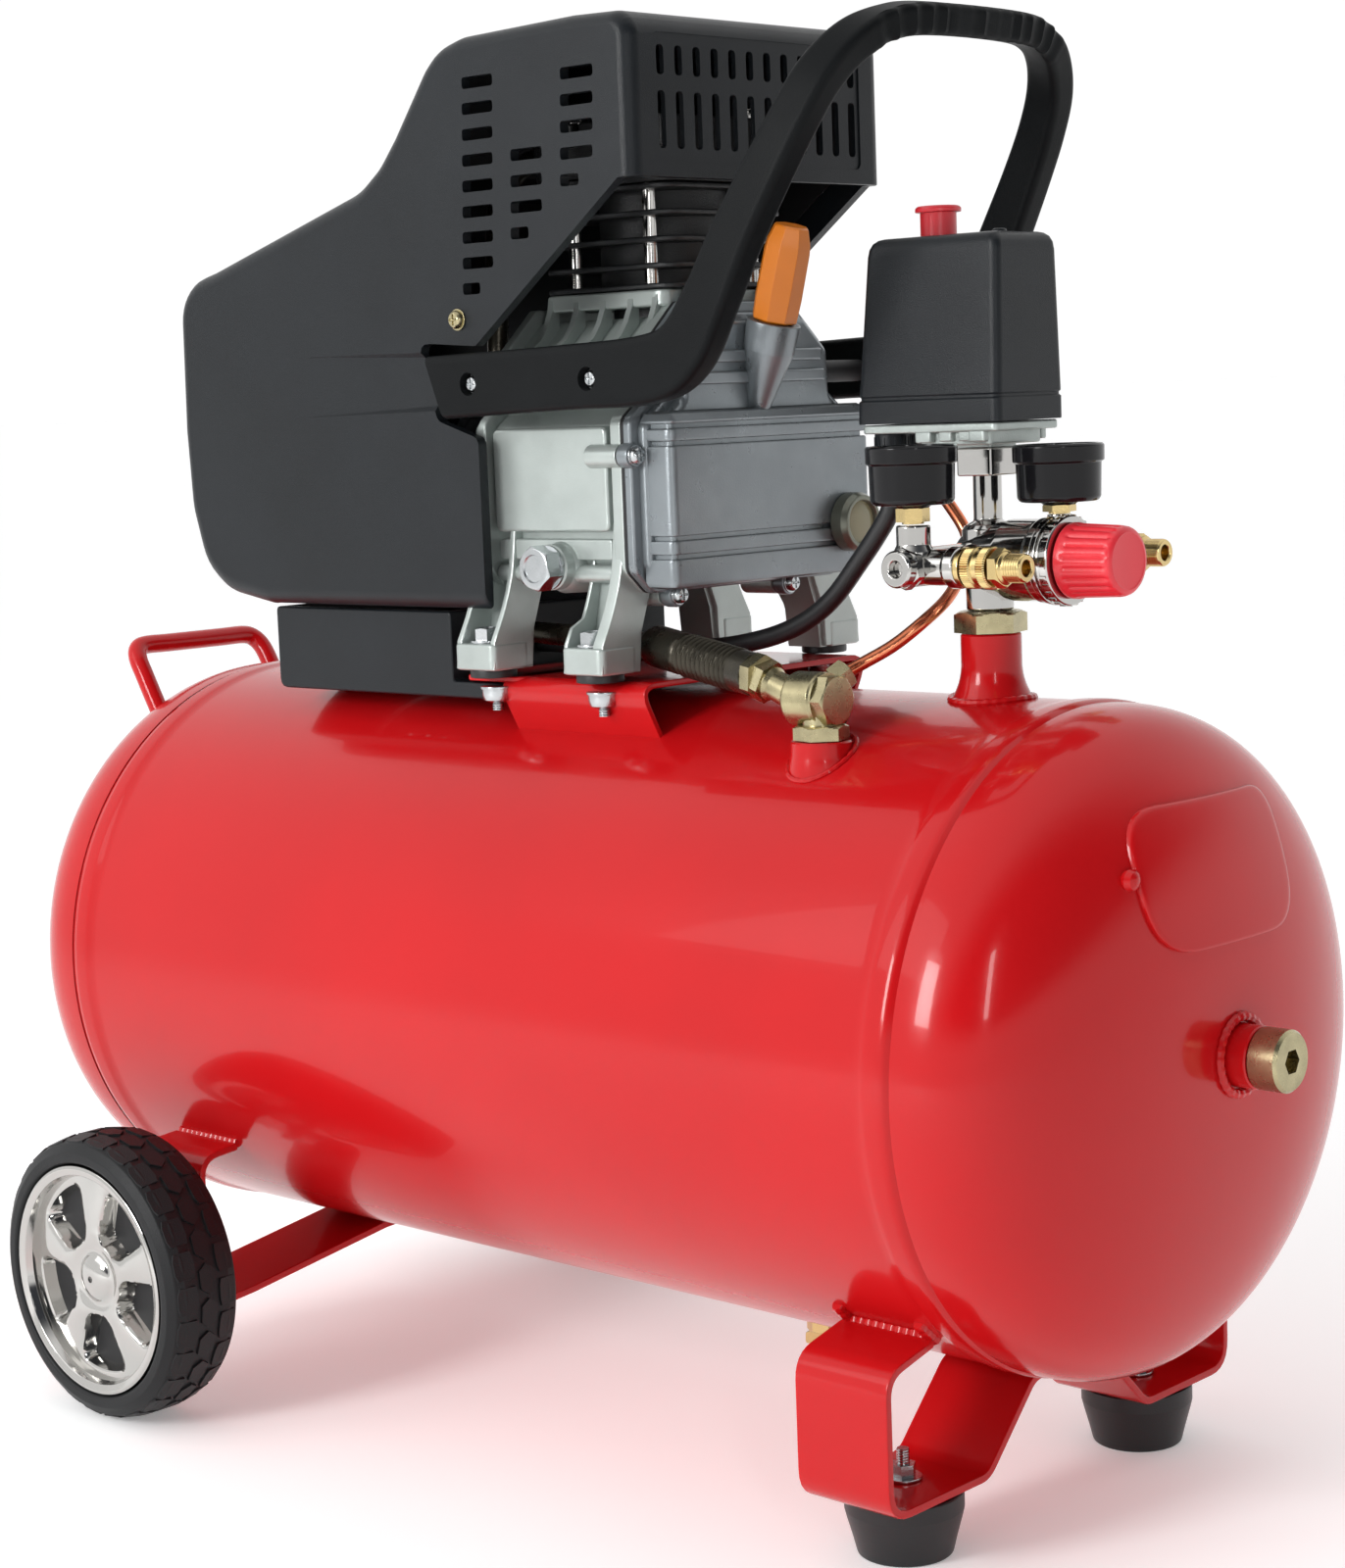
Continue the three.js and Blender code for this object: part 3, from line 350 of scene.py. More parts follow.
def piece(name, shape, slot, replaces=(), body="frame", crisp=32, bevel=0.0, look=None, level=True):
    """A shape becomes an object that rides on a body. Edges sharper than crisp stay crisp."""
    made = solid_object(name, shape, MERGE_WITHIN)
    finish_mesh(made, crisp, bevel, level)
    made.data.materials.append(LOOKS[look or slot])
    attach(made, body)
    if replaces:
        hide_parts(*replaces)
    return made


def finish_mesh(made, crisp, bevel, level):
    """Bevels the edges where asked, then sets the shading."""
    if bevel:
        tool = made.modifiers.new("bevel", "BEVEL")
        tool.width, tool.segments = bevel / 1000, 2
        tool.limit_method, tool.angle_limit = "ANGLE", radians(crisp)
        tool.use_clamp_overlap = True
        apply_tools(made)
    mark_edges(made.data, BEVELLED_CRISP if bevel else crisp)
    if level:
        level_normals(made)


def level_normals(made):
    """Lets the large faces set the shading, so that flat ones look flat next to rounded rims."""
    tool = made.modifiers.new("level", "WEIGHTED_NORMAL")
    tool.keep_sharp = True
    apply_tools(made)


def apply_tools(made):
    graph = bpy.context.evaluated_depsgraph_get()
    fresh = bpy.data.meshes.new_from_object(made.evaluated_get(graph))
    made.modifiers.clear()
    old, made.data = made.data, fresh
    bpy.data.meshes.remove(old)


def mark_edges(mesh, crisp):
    work = bmesh.new()
    work.from_mesh(mesh)
    for face in work.faces:
        face.smooth = True
    for edge in work.edges:
        if len(edge.link_faces) == 2:
            edge.smooth = edge.calc_face_angle(0) < radians(crisp)
    work.to_mesh(mesh)
    work.free()


def carve(made, shape, crisp=32):
    """Cuts a shape out of an object."""
    normals = made.data.attributes.get("custom_normal")
    if normals:
        made.data.attributes.remove(normals)
    tool_object = solid_object("tool", shape)
    tool = made.modifiers.new("cut", "BOOLEAN")
    tool.operation, tool.solver, tool.object = "DIFFERENCE", "EXACT", tool_object
    apply_tools(made)
    mesh = tool_object.data
    bpy.data.objects.remove(tool_object)
    bpy.data.meshes.remove(mesh)
    mark_edges(made.data, crisp)
    level_normals(made)


SIDES = (("left", -1), ("right", 1))   # left is the front, -Y

# Where the fittings sit.
PLUG, DRAIN, CHECK_VALVE = (0, 0, 2), (112, 0, 0), (187, -75, 0)
RISER_X, GLAND_X, GLAND_Y = 226, 181.5, 12
DRAIN_BOLT, SIGHT_GLASS = (28, 0, 215), (0, 54, 229)
FILLER, FILLER_LEAN = (103.5, -2, 327), 0.29
INTAKE_FILTER, BUTTON = (-13.3, 22, 411), (202, 0, 0)

# ---- tank ----
TANK_R, SEAM_X, HEAD_DEPTH = 152.0, 281.0, 74.5


def dome_x(r):
    """How far out the dished head is at a distance r from the tank's axis."""
    share = max(0.0, 1 - (min(r, TANK_R) / TANK_R) ** 2.2) ** (1 / 2.77)
    return SEAM_X + HEAD_DEPTH * share


def skin_z(y):
    """How far the tank's skin is above its axis at a distance y to the side."""
    return sqrt(TANK_R ** 2 - y * y)


def make_tank():
    steps = 40
    half = [(TANK_R * (1 - (k / steps) ** 2.77) ** (1 / 2.2), SEAM_X + HEAD_DEPTH * k / steps)
        for k in range(steps, 0, -1)]
    half += [(TANK_R, SEAM_X + 4), (TANK_R - 0.9, SEAM_X + 1), (TANK_R + 0.2, SEAM_X - 0.6),
        (TANK_R + 1.1, SEAM_X - 2), (TANK_R + 1.3, SEAM_X - 4.5), (TANK_R + 1.2, SEAM_X - 10),
        (TANK_R + 0.9, SEAM_X - 13), (TANK_R, SEAM_X - 15.5), (TANK_R, SEAM_X - 20)]
    profile = [(0, SEAM_X + HEAD_DEPTH)] + half[1:] + [(r, -x) for r, x in half[1:]][::-1]
    profile += [(0, -SEAM_X - HEAD_DEPTH)]
    skinned = turned(profile, sides=160, axis="x")
    boss = turned(solid((15.5, 320), (14.6, 352), (14, 356), (14, 365.3), (13.4, 366)), axis="x", at=PLUG)
    foot = turned([(0, 100), (15.6, 112), (15.2, 126), (14.6, 131), (14.2, 133), (14, 138.3), (13.3, 139),
        (0, 139)], at=CHECK_VALVE)
    drain = turned(rod(11, -159, -146), at=DRAIN)
    piece("tank_skin", skinned + boss + foot + drain, "red_paint", ["tank_shell", "tank_head_left",
        "tank_head_right"])
    ring = [(350 + 1.5 * cos(3 * t), 17 * cos(t), 2 + 17 * sin(t)) for t in turns(16)]
    boss_ring = [(dome_x(hypot(y, z)) + 0.5, y, z) for x, y, z in ring]
    piece("tank_weld", bead(boss_ring, 2.2, closed=True), "red_paint")


def make_end_plug():
    plug = piece("end_plug_face", turned(solid((12.9, 366.2), (13.8, 367.2), (13.8, 379.6), (12.6, 381)),
        axis="x", at=PLUG), "zinc", ["end_plug"], look="yellow_zinc")
    carve(plug, hexagon(10, 373, 390, axis="x", at=PLUG))


def make_drain_cock():
    cock = turned(rod(4.6, -150.5, -160), 32, at=DRAIN)
    cock += facing(hex_head(14, 159.2, 167), "z", DRAIN, -1)
    wings = rounded([(-4, -166.5), (-10.6, -170), (-10.8, -175.8), (-4, -174.6), (4, -174.6),
        (10.8, -175.8), (10.6, -170), (4, -166.5)], 1.6, steps=3)
    cock += slab(wings, "y", -1.5, 1.5, 0.5, 2).at(*DRAIN)
    piece("drain_cock", cock, "brass", ["drain_valve"], "drain")


def make_riser():
    riser = turned([(0, 140), (19.4, 146), (18.8, 151.5), (17.6, 154), (16.4, 156.5), (15.4, 159),
        (14.7, 161.5), (14.2, 164), (13.9, 167), (13.9, 181.2), (13.1, 182), (0, 182)], at=(RISER_X, 0, 0))
    weld = [(RISER_X + 18.8 * cos(t), 18.8 * sin(t), skin_z(18.8 * sin(t)) + 0.6) for t in turns(24)]
    piece("riser_pipe", riser + bead(weld, 1.9, closed=True), "red_paint", ["outlet_riser"])


def make_inlet_weld():
    foot_weld = []
    for t in turns(24):
        x, y = CHECK_VALVE[0] + 15.6 * cos(t), CHECK_VALVE[1] + 15.6 * sin(t)
        foot_weld.append((x, y, skin_z(y) + 0.4))
    piece("inlet_weld", bead(foot_weld, 1.3, closed=True), "red_paint")


def make_plate():
    """The raised blank plate on the right head, which follows its curve."""
    corners = rounded([(-58, 52), (52, 52), (52, 114), (-58, 114)], [30, 24, 14, 24], steps=8)
    outline = []
    for start, end in zip(corners, corners[1:] + corners[:1]):
        start, end = Vector(start), Vector(end)
        pieces = max(1, round((end - start).length / 4))
        outline += [start.lerp(end, k / pieces) for k in range(pieces)]
    middle = Vector((-3, 83))
    rings = []
    rim = [(1.0, -1.0), (1.0, 1.6), (0.994, 2.1), (0.98, 2.4)]
    flat = [(share, 2.5) for share in (0.95, 0.9, 0.8, 0.7, 0.6, 0.5, 0.4, 0.3, 0.2, 0.1, 0.04)]
    for share, lift in rim + flat:
        ring = []
        for u, v in outline:
            p = middle + (Vector((u, v)) - middle) * share
            ring.append((dome_x(p.length) + lift, p.x, p.y))
        rings.append(ring)
    spot = Vector((-61, 86))
    blob = turned([(0, -3), (4.4, -2), (5, 0), (4, 2.6), (2, 3.8), (0, 4)], 16, axis="x",
        at=(dome_x(spot.length) + 0.5, spot.x, spot.y))
    piece("blank_plate", skin(rings) + blob, "red_paint", ["data_plate"], level=False)


# ---- running gear ----
FLOOR = -AXIS_HEIGHT
WHEEL_R = 75.0
WHEEL_X, WHEEL_Z = -208.6, FLOOR + WHEEL_R
WHEEL_AT, WHEEL_IN, WHEEL_OUT = (WHEEL_X, 0, WHEEL_Z), 166.0, 209.2
FOOT_X, FOOT_Y = 235.0, 91.0


def on_wheel(r, turn, y):
    return (WHEEL_X + r * cos(turn), y, WHEEL_Z + r * sin(turn))


def make_tyre(name, side):
    profile = rounded([(60.6, WHEEL_IN + 3), (66, WHEEL_IN), (71.5, WHEEL_IN + 2), (73.7, WHEEL_IN + 8),
        (73.7, WHEEL_OUT - 8), (71.5, WHEEL_OUT - 3), (67, WHEEL_OUT - 0.2), (62, WHEEL_OUT),
        (60.6, WHEEL_OUT - 3)], 2.0, steps=3)
    tyre = turned([(r, side * y) for r, y in profile], 120, "y", WHEEL_AT)
    blocks = []
    count = 26
    for k in range(count):
        for row, (y0, y1) in enumerate(((WHEEL_IN + 3.5, WHEEL_IN + 15), (WHEEL_IN + 16.6, WHEEL_IN + 26.6),
                (WHEEL_IN + 28.2, WHEEL_OUT - 3.5))):
            mid = tau * (k + (0.5 if row == 1 else 0)) / count
            span = tau / count * (0.43 if row == 1 else 0.42)
            ym = (y0 + y1) / 2
            outline = [(-span, y0 + 1), (-span * 0.5, y0), (span * 0.5, y0), (span, y0 + 1),
                (span * (1.0 if row != 1 else 0.7), y1 - 1), (span * 0.5, y1), (-span * 0.5, y1),
                (-span * (1.0 if row != 1 else 0.7), y1 - 1)]
            if row == 1:
                outline = [(-span * 1.1, ym), (-span * 0.62, y0), (span * 0.62, y0), (span * 1.1, ym),
                    (span * 0.62, y1), (-span * 0.62, y1)]
            low = [on_wheel(71, mid + a, side * y) for a, y in outline]
            drop = {0: (WHEEL_IN + 3.5, 1), 2: (WHEEL_OUT - 3.5, -1)}.get(row)
            top = []
            for a, y in outline:
                shoulder = max(0.0, 1 - abs(y - drop[0]) / 6) ** 2 * 2.4 if drop else 0.0
                top.append(on_wheel(74.9 - shoulder, mid + a * 0.93, side * (ym + (y - ym) * 0.95)))
            blocks.append(skin([low, top]))
    piece(f"tyre_{name}_tread", tyre + total(blocks), "tyre_rubber", [f"tyre_{name}"], f"wheel_{name}")


def make_hub(name, side):
    rim = turned([(r, side * y) for r, y in rounded([(60.2, WHEEL_OUT - 4), (60.2, WHEEL_OUT - 0.6),
        (58.5, WHEEL_OUT + 0.0), (55.2, WHEEL_OUT - 1.2), (53.8, WHEEL_OUT - 5), (53, 192), (6.6, 192),
        (6.6, 188), (15, 187), (15, 159), (13, 158.2), (6.6, 158.2), (6.6, 157.5), (16, 157.5), (17, 186),
        (52, 186), (54, WHEEL_IN + 3), (60.2, WHEEL_IN + 3)], 0.8, steps=2)], 96, "y", WHEEL_AT)
    piece(f"hub_{name}_rim", rim, "chrome", [f"hub_{name}"], f"wheel_{name}")
    made = piece(f"hub_{name}_spokes", hubcap(side), "chrome", (), f"wheel_{name}", crisp=50)
    # A second, near-black look paints shade into the hub's sunk windows between the spokes.
    made.data.materials.append(LOOKS["painted_shade_joint_and_print_black"])
    for polygon in made.data.polygons:
        centre = polygon.center * 1000 - Vector((WHEEL_X - CENTRE_X, 0, WHEEL_R))
        r, turn = hypot(centre.x, centre.z), atan2(centre.z, centre.x)
        if window(r, turn) < -0.9 and abs(centre.y) < 200:
            polygon.material_index = 1


CAP_R = 54.4


def window(r, turn):
    """Distance from the edge of the nearest hub window; it is negative inside."""
    step = tau / 5
    a = (turn - pi / 2) % step - step / 2
    u, v = r * cos(a), abs(r * sin(a))
    corner = [v - (1.0 + 0.36 * u), 21 - u, r - 48.5]
    hard = max(corner)
    soft = sum(max(0.0, c + 5) ** 2 for c in corner) ** 0.5 - 5
    return max(hard, soft) if soft > -5 else hard


def hubcap(side):
    radii = [0.01, 3, 6, 9, 11, 12, 13, 15, 17, 19] + [20 + 1.1 * k for k in range(32)]
    radii = [r for r in radii if r < CAP_R] + [CAP_R]
    count = 240
    rings = []
    for r in radii:
        ring = []
        for turn in turns(count):
            distance = window(r, turn)
            edge = max(0.0, min(1.0, (distance + 1.0) / 2.4))
            edge = edge * edge * (3 - 2 * edge)
            pillow = 1 - exp(-max(0.0, distance) / 3.2)
            centre = 3.0 * exp(-(r / 11) ** 4) - 1.6 * exp(-((r - 14) / 2.2) ** 2)
            rise = 199.4 + 4.2 * (1 - (r / 56) ** 2) + centre + 2.0 * pillow * min(1, max(0, (r - 16) / 8))
            y = rise * edge + 194.5 * (1 - edge)
            ring.append(on_wheel(r, turn, side * min(y, WHEEL_OUT - 1)))
        rings.append(ring)
    for r, y in ((CAP_R, 194.2), (0.01, 194.0)):
        rings.append([on_wheel(r, turn, side * y) for turn in turns(count)])
    return skin(rings, closed=True)


def make_foot(name, side):
    foot = rounded([(0, FLOOR), (21.5, FLOOR), (23.5, FLOOR + 8), (26, FLOOR + 17), (27, FLOOR + 21),
        (27, FLOOR + 29), (0, FLOOR + 29)], 1.6, closed=False, steps=3)
    piece(f"foot_{name}_rubber", turned(foot, 64, at=(FOOT_X, side * FOOT_Y, 0)), "black_rubber",
        [f"foot_{name}"])
    bolt = (FOOT_X, side * FOOT_Y, 0)
    top = FLOOR + 29 + 4.6
    piece(f"foot_{name}_bolt", lathe(rod(8.5, top, top + 1.4), 0.4, 32, at=bolt)
        + hexagon(10, top + 1.4, top + 7, at=bolt) + threaded(3, top + 7, top + 14, at=bolt), "zinc")


def make_running_gear():
    for name, side in SIDES:
        make_tyre(name, side)
        make_hub(name, side)
        make_foot(name, side)


def mirrored(half):
    return half + [(-y, z) for y, z in half][::-1]


def make_straps():
    under = -TANK_R - 2.6
    flat = FLOOR + 29.3 + 2
    feet_line = rounded(mirrored([(-99, -119.5), (-131, -127), (-131, flat), (-62, flat), (-26, under),
        (-8, under)]), 13, closed=False, steps=6)
    piece("foot_strap_bent", prism(strip(feet_line, 4), "x", 209, 261), "red_paint", ["front_foot_strap"],
        bevel=1.0, crisp=50)
    wheel_line = rounded(mirrored([(-126, -90), (-150, -92), (-150, -172), (-120, -169), (-26, under - 1),
        (-8, under)]), 12, closed=False, steps=6)
    piece("wheel_strap_bent", prism(strip(wheel_line, 4), "x", WHEEL_X - 26, WHEEL_X + 26), "red_paint",
        ["wheel_strap"], bevel=1.0, crisp=50)


def make_strap_welds():
    welds = []
    for side in (-1, 1):
        for x in (212, 258):
            welds.append(bead([(x, side * y, -skin_z(y) - 0.3) for y in (94, 98, 102, 106)], 3.2))
        y = 97.5
        welds.append(bead([(x, side * y, -skin_z(y) - 1.0) for x in (210, 222, 235, 248, 260)], 3.2))
        y = 124
        welds.append(bead([(x, side * y, -skin_z(y) - 0.6) for x in (WHEEL_X - 24, WHEEL_X, WHEEL_X + 24)],
            3.2))
    piece("strap_weld", total(welds), "red_paint")


def make_tow_handle():
    half = [(-322, -46, 110), (-330, -46, 122), (-338, -46, 135), (-345, -46, 147), (-350.5, -45.5, 155.5),
        (-354.5, -42.5, 160.8), (-356, -36, 163), (-356, -18, 163)]
    path = half + [(x, -y, z) for x, y, z in half][::-1]
    handle = tube(path, 5.3, sides=20, steps=5)
    welds = [bead([(-dome_x(hypot(y, z)) - 0.4, y, z) for y, z in [(side * 46 + 7 * cos(t), 111
        + 8 * sin(t)) for t in turns(10)]], 2.3, closed=True) for side in (-1, 1)]
    piece("tow_handle_rod", handle + total(welds), "red_paint", ["tow_handle"])


# ---- small hardware and cast shapes ----
def threaded(r, z0, z1, at=(0, 0, 0), pitch=1.2, sides=24):
    """A screw's thread, as close rings."""
    profile, z = [(0, z0)], z0
    while z < z1 - 1e-6:
        profile += [(r, z), (r, min(z + pitch * 0.3, z1)), (r * 0.86, min(z + pitch * 0.65, z1))]
        z += pitch
    profile += [(r * 0.9, z1), (0, z1)]
    return turned(profile, sides, at=at)


def with_normals(outline):
    """Each corner of an outline with the inward normals of the two sides that meet there."""
    pts = [Vector(p) for p in outline]
    n = len(pts)
    around = sum(pts[i].x * pts[(i + 1) % n].y - pts[(i + 1) % n].x * pts[i].y for i in range(n))
    turn = 1 if around > 0 else -1
    for i, p in enumerate(pts):
        before, after = (p - pts[i - 1]).normalized(), (pts[(i + 1) % n] - p).normalized()
        yield p, Vector((-before.y, before.x)) * turn, Vector((-after.y, after.x)) * turn


def inset(outline, by):
    """An outline with every side moved inwards by the same distance."""
    return [tuple(p + (n1 + n2) * (by / max(0.3, 1 + n1.dot(n2)))) for p, n1, n2 in with_normals(outline)]


def offset(outline, distances):
    """An outline with each side moved inwards by its own distance."""
    result = []
    for i, (p, n1, n2) in enumerate(with_normals(outline)):
        d1, d2 = distances[i - 1], distances[i]
        cross = n1.x * n2.y - n1.y * n2.x
        if abs(cross) < 0.08:
            result.append(tuple(p + n1 * ((d1 + d2) / 2)))
        else:
            result.append((p.x + (d1 * n2.y - d2 * n1.y) / cross, p.y + (d2 * n1.x - d1 * n2.x) / cross))
    return result


def slab(outline, axis, a, b, soft=1.5, steps=3, ends=(True, True)):
    """An outline pushed along an axis, with rounded rims at its ends."""
    way = 1 if b > a else -1
    rings = []
    for end, w, sign in ((0, a, way), (1, b, -way)):
        if ends[end]:
            rim = [(inset(outline, soft * (1 - sin(t))), w + sign * soft * (1 - cos(t)))
                for t in [pi / 2 * k / steps for k in range(steps + 1)]]
        else:
            rim = [(outline, w)]
        rings += rim if end == 0 else rim[::-1]
    return skin([[PUSH[axis](u, v, w) for u, v in ring] for ring, w in rings])


def block(axis, u0, u1, v0, v1, a, b, radius=2.0, soft=1.2):
    return slab(rectangle(u0, u1, v0, v1, radius), axis, a, b, soft)


def facing(shape, axis, at, way=1):
    """A shape made along +Z from zero, set at a point to look along an axis or, at -1, back."""
    return shape.moved(Matrix.Translation(at) @ ALONG[axis] @ Matrix.Diagonal((1, 1, way, 1)))


def hex_head(flats, h0, h1, phase=0.0, dimple=0.0):
    """A hexagon head or nut with its corners turned off at the top."""
    half, sides = flats / 2, 36
    rings = []
    for drop in (None, 0.22, 0.16, 0.10, 0.05, 0.0):
        ring = []
        for t in turns(sides):
            reach = half / cos((t + pi / 6) % (pi / 3) - pi / 6)
            if drop is not None:
                reach = min(reach, half * (0.95 + 1.3 * drop))
            h = h0 if drop is None else h1 - drop * half * 0.6
            ring.append((reach * cos(t + phase), reach * sin(t + phase), h))
        rings.append(ring)
    if dimple:
        for share, h in ((0.72, h1), (0.66, h1 - dimple), (0.02, h1 - dimple)):
            rings.append(ring_of(half * share, h, sides, phase))
    return skin(rings)


def cross_head(r, tall):
    """A domed screw head with a cross sunk in it."""
    length, width, deep = r * 0.62, 0.55, 1.4
    arm = atan(width / length)
    angles = [pi / 2 * q + a for q in range(4) for a in (-pi / 4, -pi / 6, -arm, 0, arm, pi / 6)]

    def ring(size, h):
        return [(size * cos(t), size * sin(t), h) for t in angles]

    def cross(h, shrink=1.0):
        points = []
        for t in angles:
            fold = abs((t + pi / 4) % (pi / 2) - pi / 4)
            size = min(length / cos(fold), width / max(sin(fold), 1e-6)) * shrink
            points.append((size * cos(t), size * sin(t), h))
        return points

    rings = [ring(r, 0), ring(r, tall * 0.25), ring(r * 0.97, tall * 0.5), ring(r * 0.88, tall * 0.76),
        ring(r * 0.72, tall * 0.95), cross(tall), cross(tall - deep * 0.7, 0.9), ring(0.05, tall - deep)]
    return skin(rings)


def washer(r, h0, h1):
    return lathe(rod(r, h0, h1), 0.3, 40)


# ---- motor plate ----
PLATE_TOP = 161.0
PAD_XS, PAD_Y, PAD_FOOT, PAD_TOP = (-16, 57), 85.0, 165.0, 178.0


def make_motor_plate():
    line = rounded([(-66, 128), (-83, PLATE_TOP - 1.5), (83, PLATE_TOP - 1.5), (66, 128)], 7, closed=False,
        steps=6)
    saddle = prism(strip(line, 3), "x", -12, 84)
    shelf = block("z", -40, 0, -79, 79, PLATE_TOP - 3, PLATE_TOP, 5, 0.8)
    piece("motor_plate_folded", saddle, "red_paint", ["motor_plate"], bevel=0.8, crisp=50)
    piece("motor_plate_shelf", shelf, "red_paint")
    welds, nuts = [], []
    for _, side in SIDES:
        y = 67.5
        z = skin_z(y)
        for start, end in ((8, 30), (52, 76)):
            welds.append(bead([(x, side * (y + 0.6 * sin(x)), z + 0.3) for x in range(start, end + 1, 5)],
                2.6))
        for x in PAD_XS:
            at = (x, side * 80, 0)
            nuts.append(facing(washer(8.4, 0, 1.4), "z", (x, side * 80, 156.4), -1))
            nuts.append(turned(solid((3.4, 148), (6.8, 149.6), (7.6, 152), (7.6, 155.2)), 32, at=at))
            nuts.append(threaded(2.9, 144.5, 150, at=at, sides=16))
    piece("plate_weld", total(welds), "red_paint")
    piece("plate_nuts", total(nuts), "zinc")


# ---- crankcase ----
CASE_HALF = [(66, 202), (78, 213), (78, 284), (62, 296), (61, 318), (39, 338)]
CASE_CORNERS = [7, 7, 7, 5, 5, 4, 4, 5, 5, 7, 7, 7]


def case(by=0.0):
    """The crankcase's outline as (y, z), moved inwards."""
    line = [(-y, z) for y, z in CASE_HALF] + CASE_HALF[::-1]
    return rounded(inset(line, by), CASE_CORNERS, steps=4)


CYLINDER_X = 32.0
COVER_SCREWS = [(-77.0, 267.0), (77.0, 267.0), (-51.0, 200.5), (30.0, 200.5), (28.0, 339.0), (-28.0, 339.0),
    (76.0, 215.0)]
HANDLE_SCREW_Z, HANDLE_SCREW_XS = 303.0, (0, 79)


def make_crankcase():
    core = piece("crankcase_core", slab(case(6.5), "x", -24, 71, 1), "cast_aluminium", crisp=38)
    deck = piece("crankcase_deck", block("z", -8.5, 72.5, -44, 44, 336, 344, 7, 1.2), "cast_aluminium",
        crisp=38)
    bore = turned(rod(27.5, 230, 350), 64, at=(CYLINDER_X, 0, 0))
    carve(core, bore, 38)
    carve(core, prism(case(14), "x", -17, 64), 38)
    carve(deck, bore, 38)
    parts = [slab(case(), "x", 65.5, 72.7, 1.0), slab(case(), "x", -24, -18.5, 1.0),
        slab(case(4), "x", -30, -23, 1.2)]
    for _, side in SIDES:
        parts += [block("y", -14.5, 62.5, 231.5, 281, side * 66, side * 77.7, 4, 1.6),
            block("y", -14.5, 62.5, 218, 228, side * 64, side * 75.9, 2, 1.2),
            lathe(rod(4.3, -16, 64), 2.5, 20, "x", (0, side * 73.2, 211.5), steps=3),
            block("y", -14.5, 62.5, 299, 314.5, side * 50, side * 60.3, 3, 1.4)]
        lug = lathe(rod(5.4, 50, 90.5), 1.2, 24)
        parts.append(facing(lug, "y", (HANDLE_SCREW_XS[0], 0, HANDLE_SCREW_Z), side))
        for x in (-4, 14, 32, 50, 66):
            rib = [(40, 343.2), (43.5, 343.2), (44.6, 337), (48, 329.5), (53, 323), (60, 318.5), (60, 314),
                (40, 314)]
            parts.append(prism([(side * y, z) for y, z in rib], "x", x - 1.7, x + 1.7))
        parts += make_legs(side)
    parts.append(lathe(solid((11, -60), (11, -83), (9.8, -84)), 0.5, 40, "y", DRAIN_BOLT))
    parts.append(turned(solid((13.5, -60), (13, -74), (11, -77.5)), 40, "y", DRAIN_BOLT))
    for y, z in COVER_SCREWS:
        parts.append(lathe(rod(5.6, 52, 72.7), 0.8, 28, "x", (0, y, z)))
    piece("crankcase_casting", total(parts), "cast_aluminium", ["crankcase"], crisp=38)


def make_pad_bolts():
    bolts, rubbers = [], []
    for x in PAD_XS:
        for _, side in SIDES:
            at = (x, side * PAD_Y, 0)
            bolts += [lathe(rod(8.6, PAD_TOP, PAD_TOP + 1.4), 0.4, 32, at=at),
                hex_head(11.5, PAD_TOP + 1.4, PAD_TOP + 7.4, phase=x, dimple=0.5).at(*at)]
            rubbers.append(lathe(rod(11.5, PLATE_TOP, PAD_FOOT), 0.8, 36, at=(x, side * 82, 0)))
    piece("pad_bolts", total(bolts), "zinc")
    piece("pad_rubbers", total(rubbers), "black_rubber")


def make_drain_bolt():
    piece("drain_bolt_head", facing(washer(10.6, 84.2, 85.8) + hex_head(19, 85.8, 95, phase=0.35,
        dimple=0.9), "y", DRAIN_BOLT, -1), "zinc", ["oil_drain_bolt"])


def make_legs(side):
    outer = smooth_line([(76, 236), (79, 213), (85, 195), (93.2, 179)], 4)
    fin = [tuple(p) for p in outer] + [(94.3, 165.6), (68, 165.6), (67, 184), (58, 206), (56, 236)]
    web = [tuple(p) for p in smooth_line([(67, 236), (68, 214), (71, 197), (75, 178)], 4)]
    web += [(75, 165), (66, 165), (64, 184), (56, 206), (54, 236)]
    shapes = []
    for x0, x1, fins in ((-30, -2, ((-29.5, -26), (-6, -2.5))), (44, 71, ((44.5, 47), (63.5, 70.5)))):
        for a, b in fins:
            cut = fin if (b - a) > 3 else [(y - 6 * (z > 190), z) for y, z in fin]
            shapes.append(slab([(side * y, z) for y, z in cut], "x", a, b, 0.9, 2))
        shapes.append(prism([(side * y, z) for y, z in web], "x", x0 + 3, x1 - 3))
        shapes.append(block("z", x0, x1, *sorted((side * 70, side * 95)), PAD_FOOT, PAD_TOP, 4, 1.4))
    return shapes


def make_handle_spacers():
    lug = lathe(rod(5.4, 50, 90.5), 1.2, 24)
    piece("handle_spacers", total(facing(lug, "y", (HANDLE_SCREW_XS[1], 0, HANDLE_SCREW_Z), side) for _,
        side in SIDES), "black_plastic", look="painted_shade_joint_and_print_black")


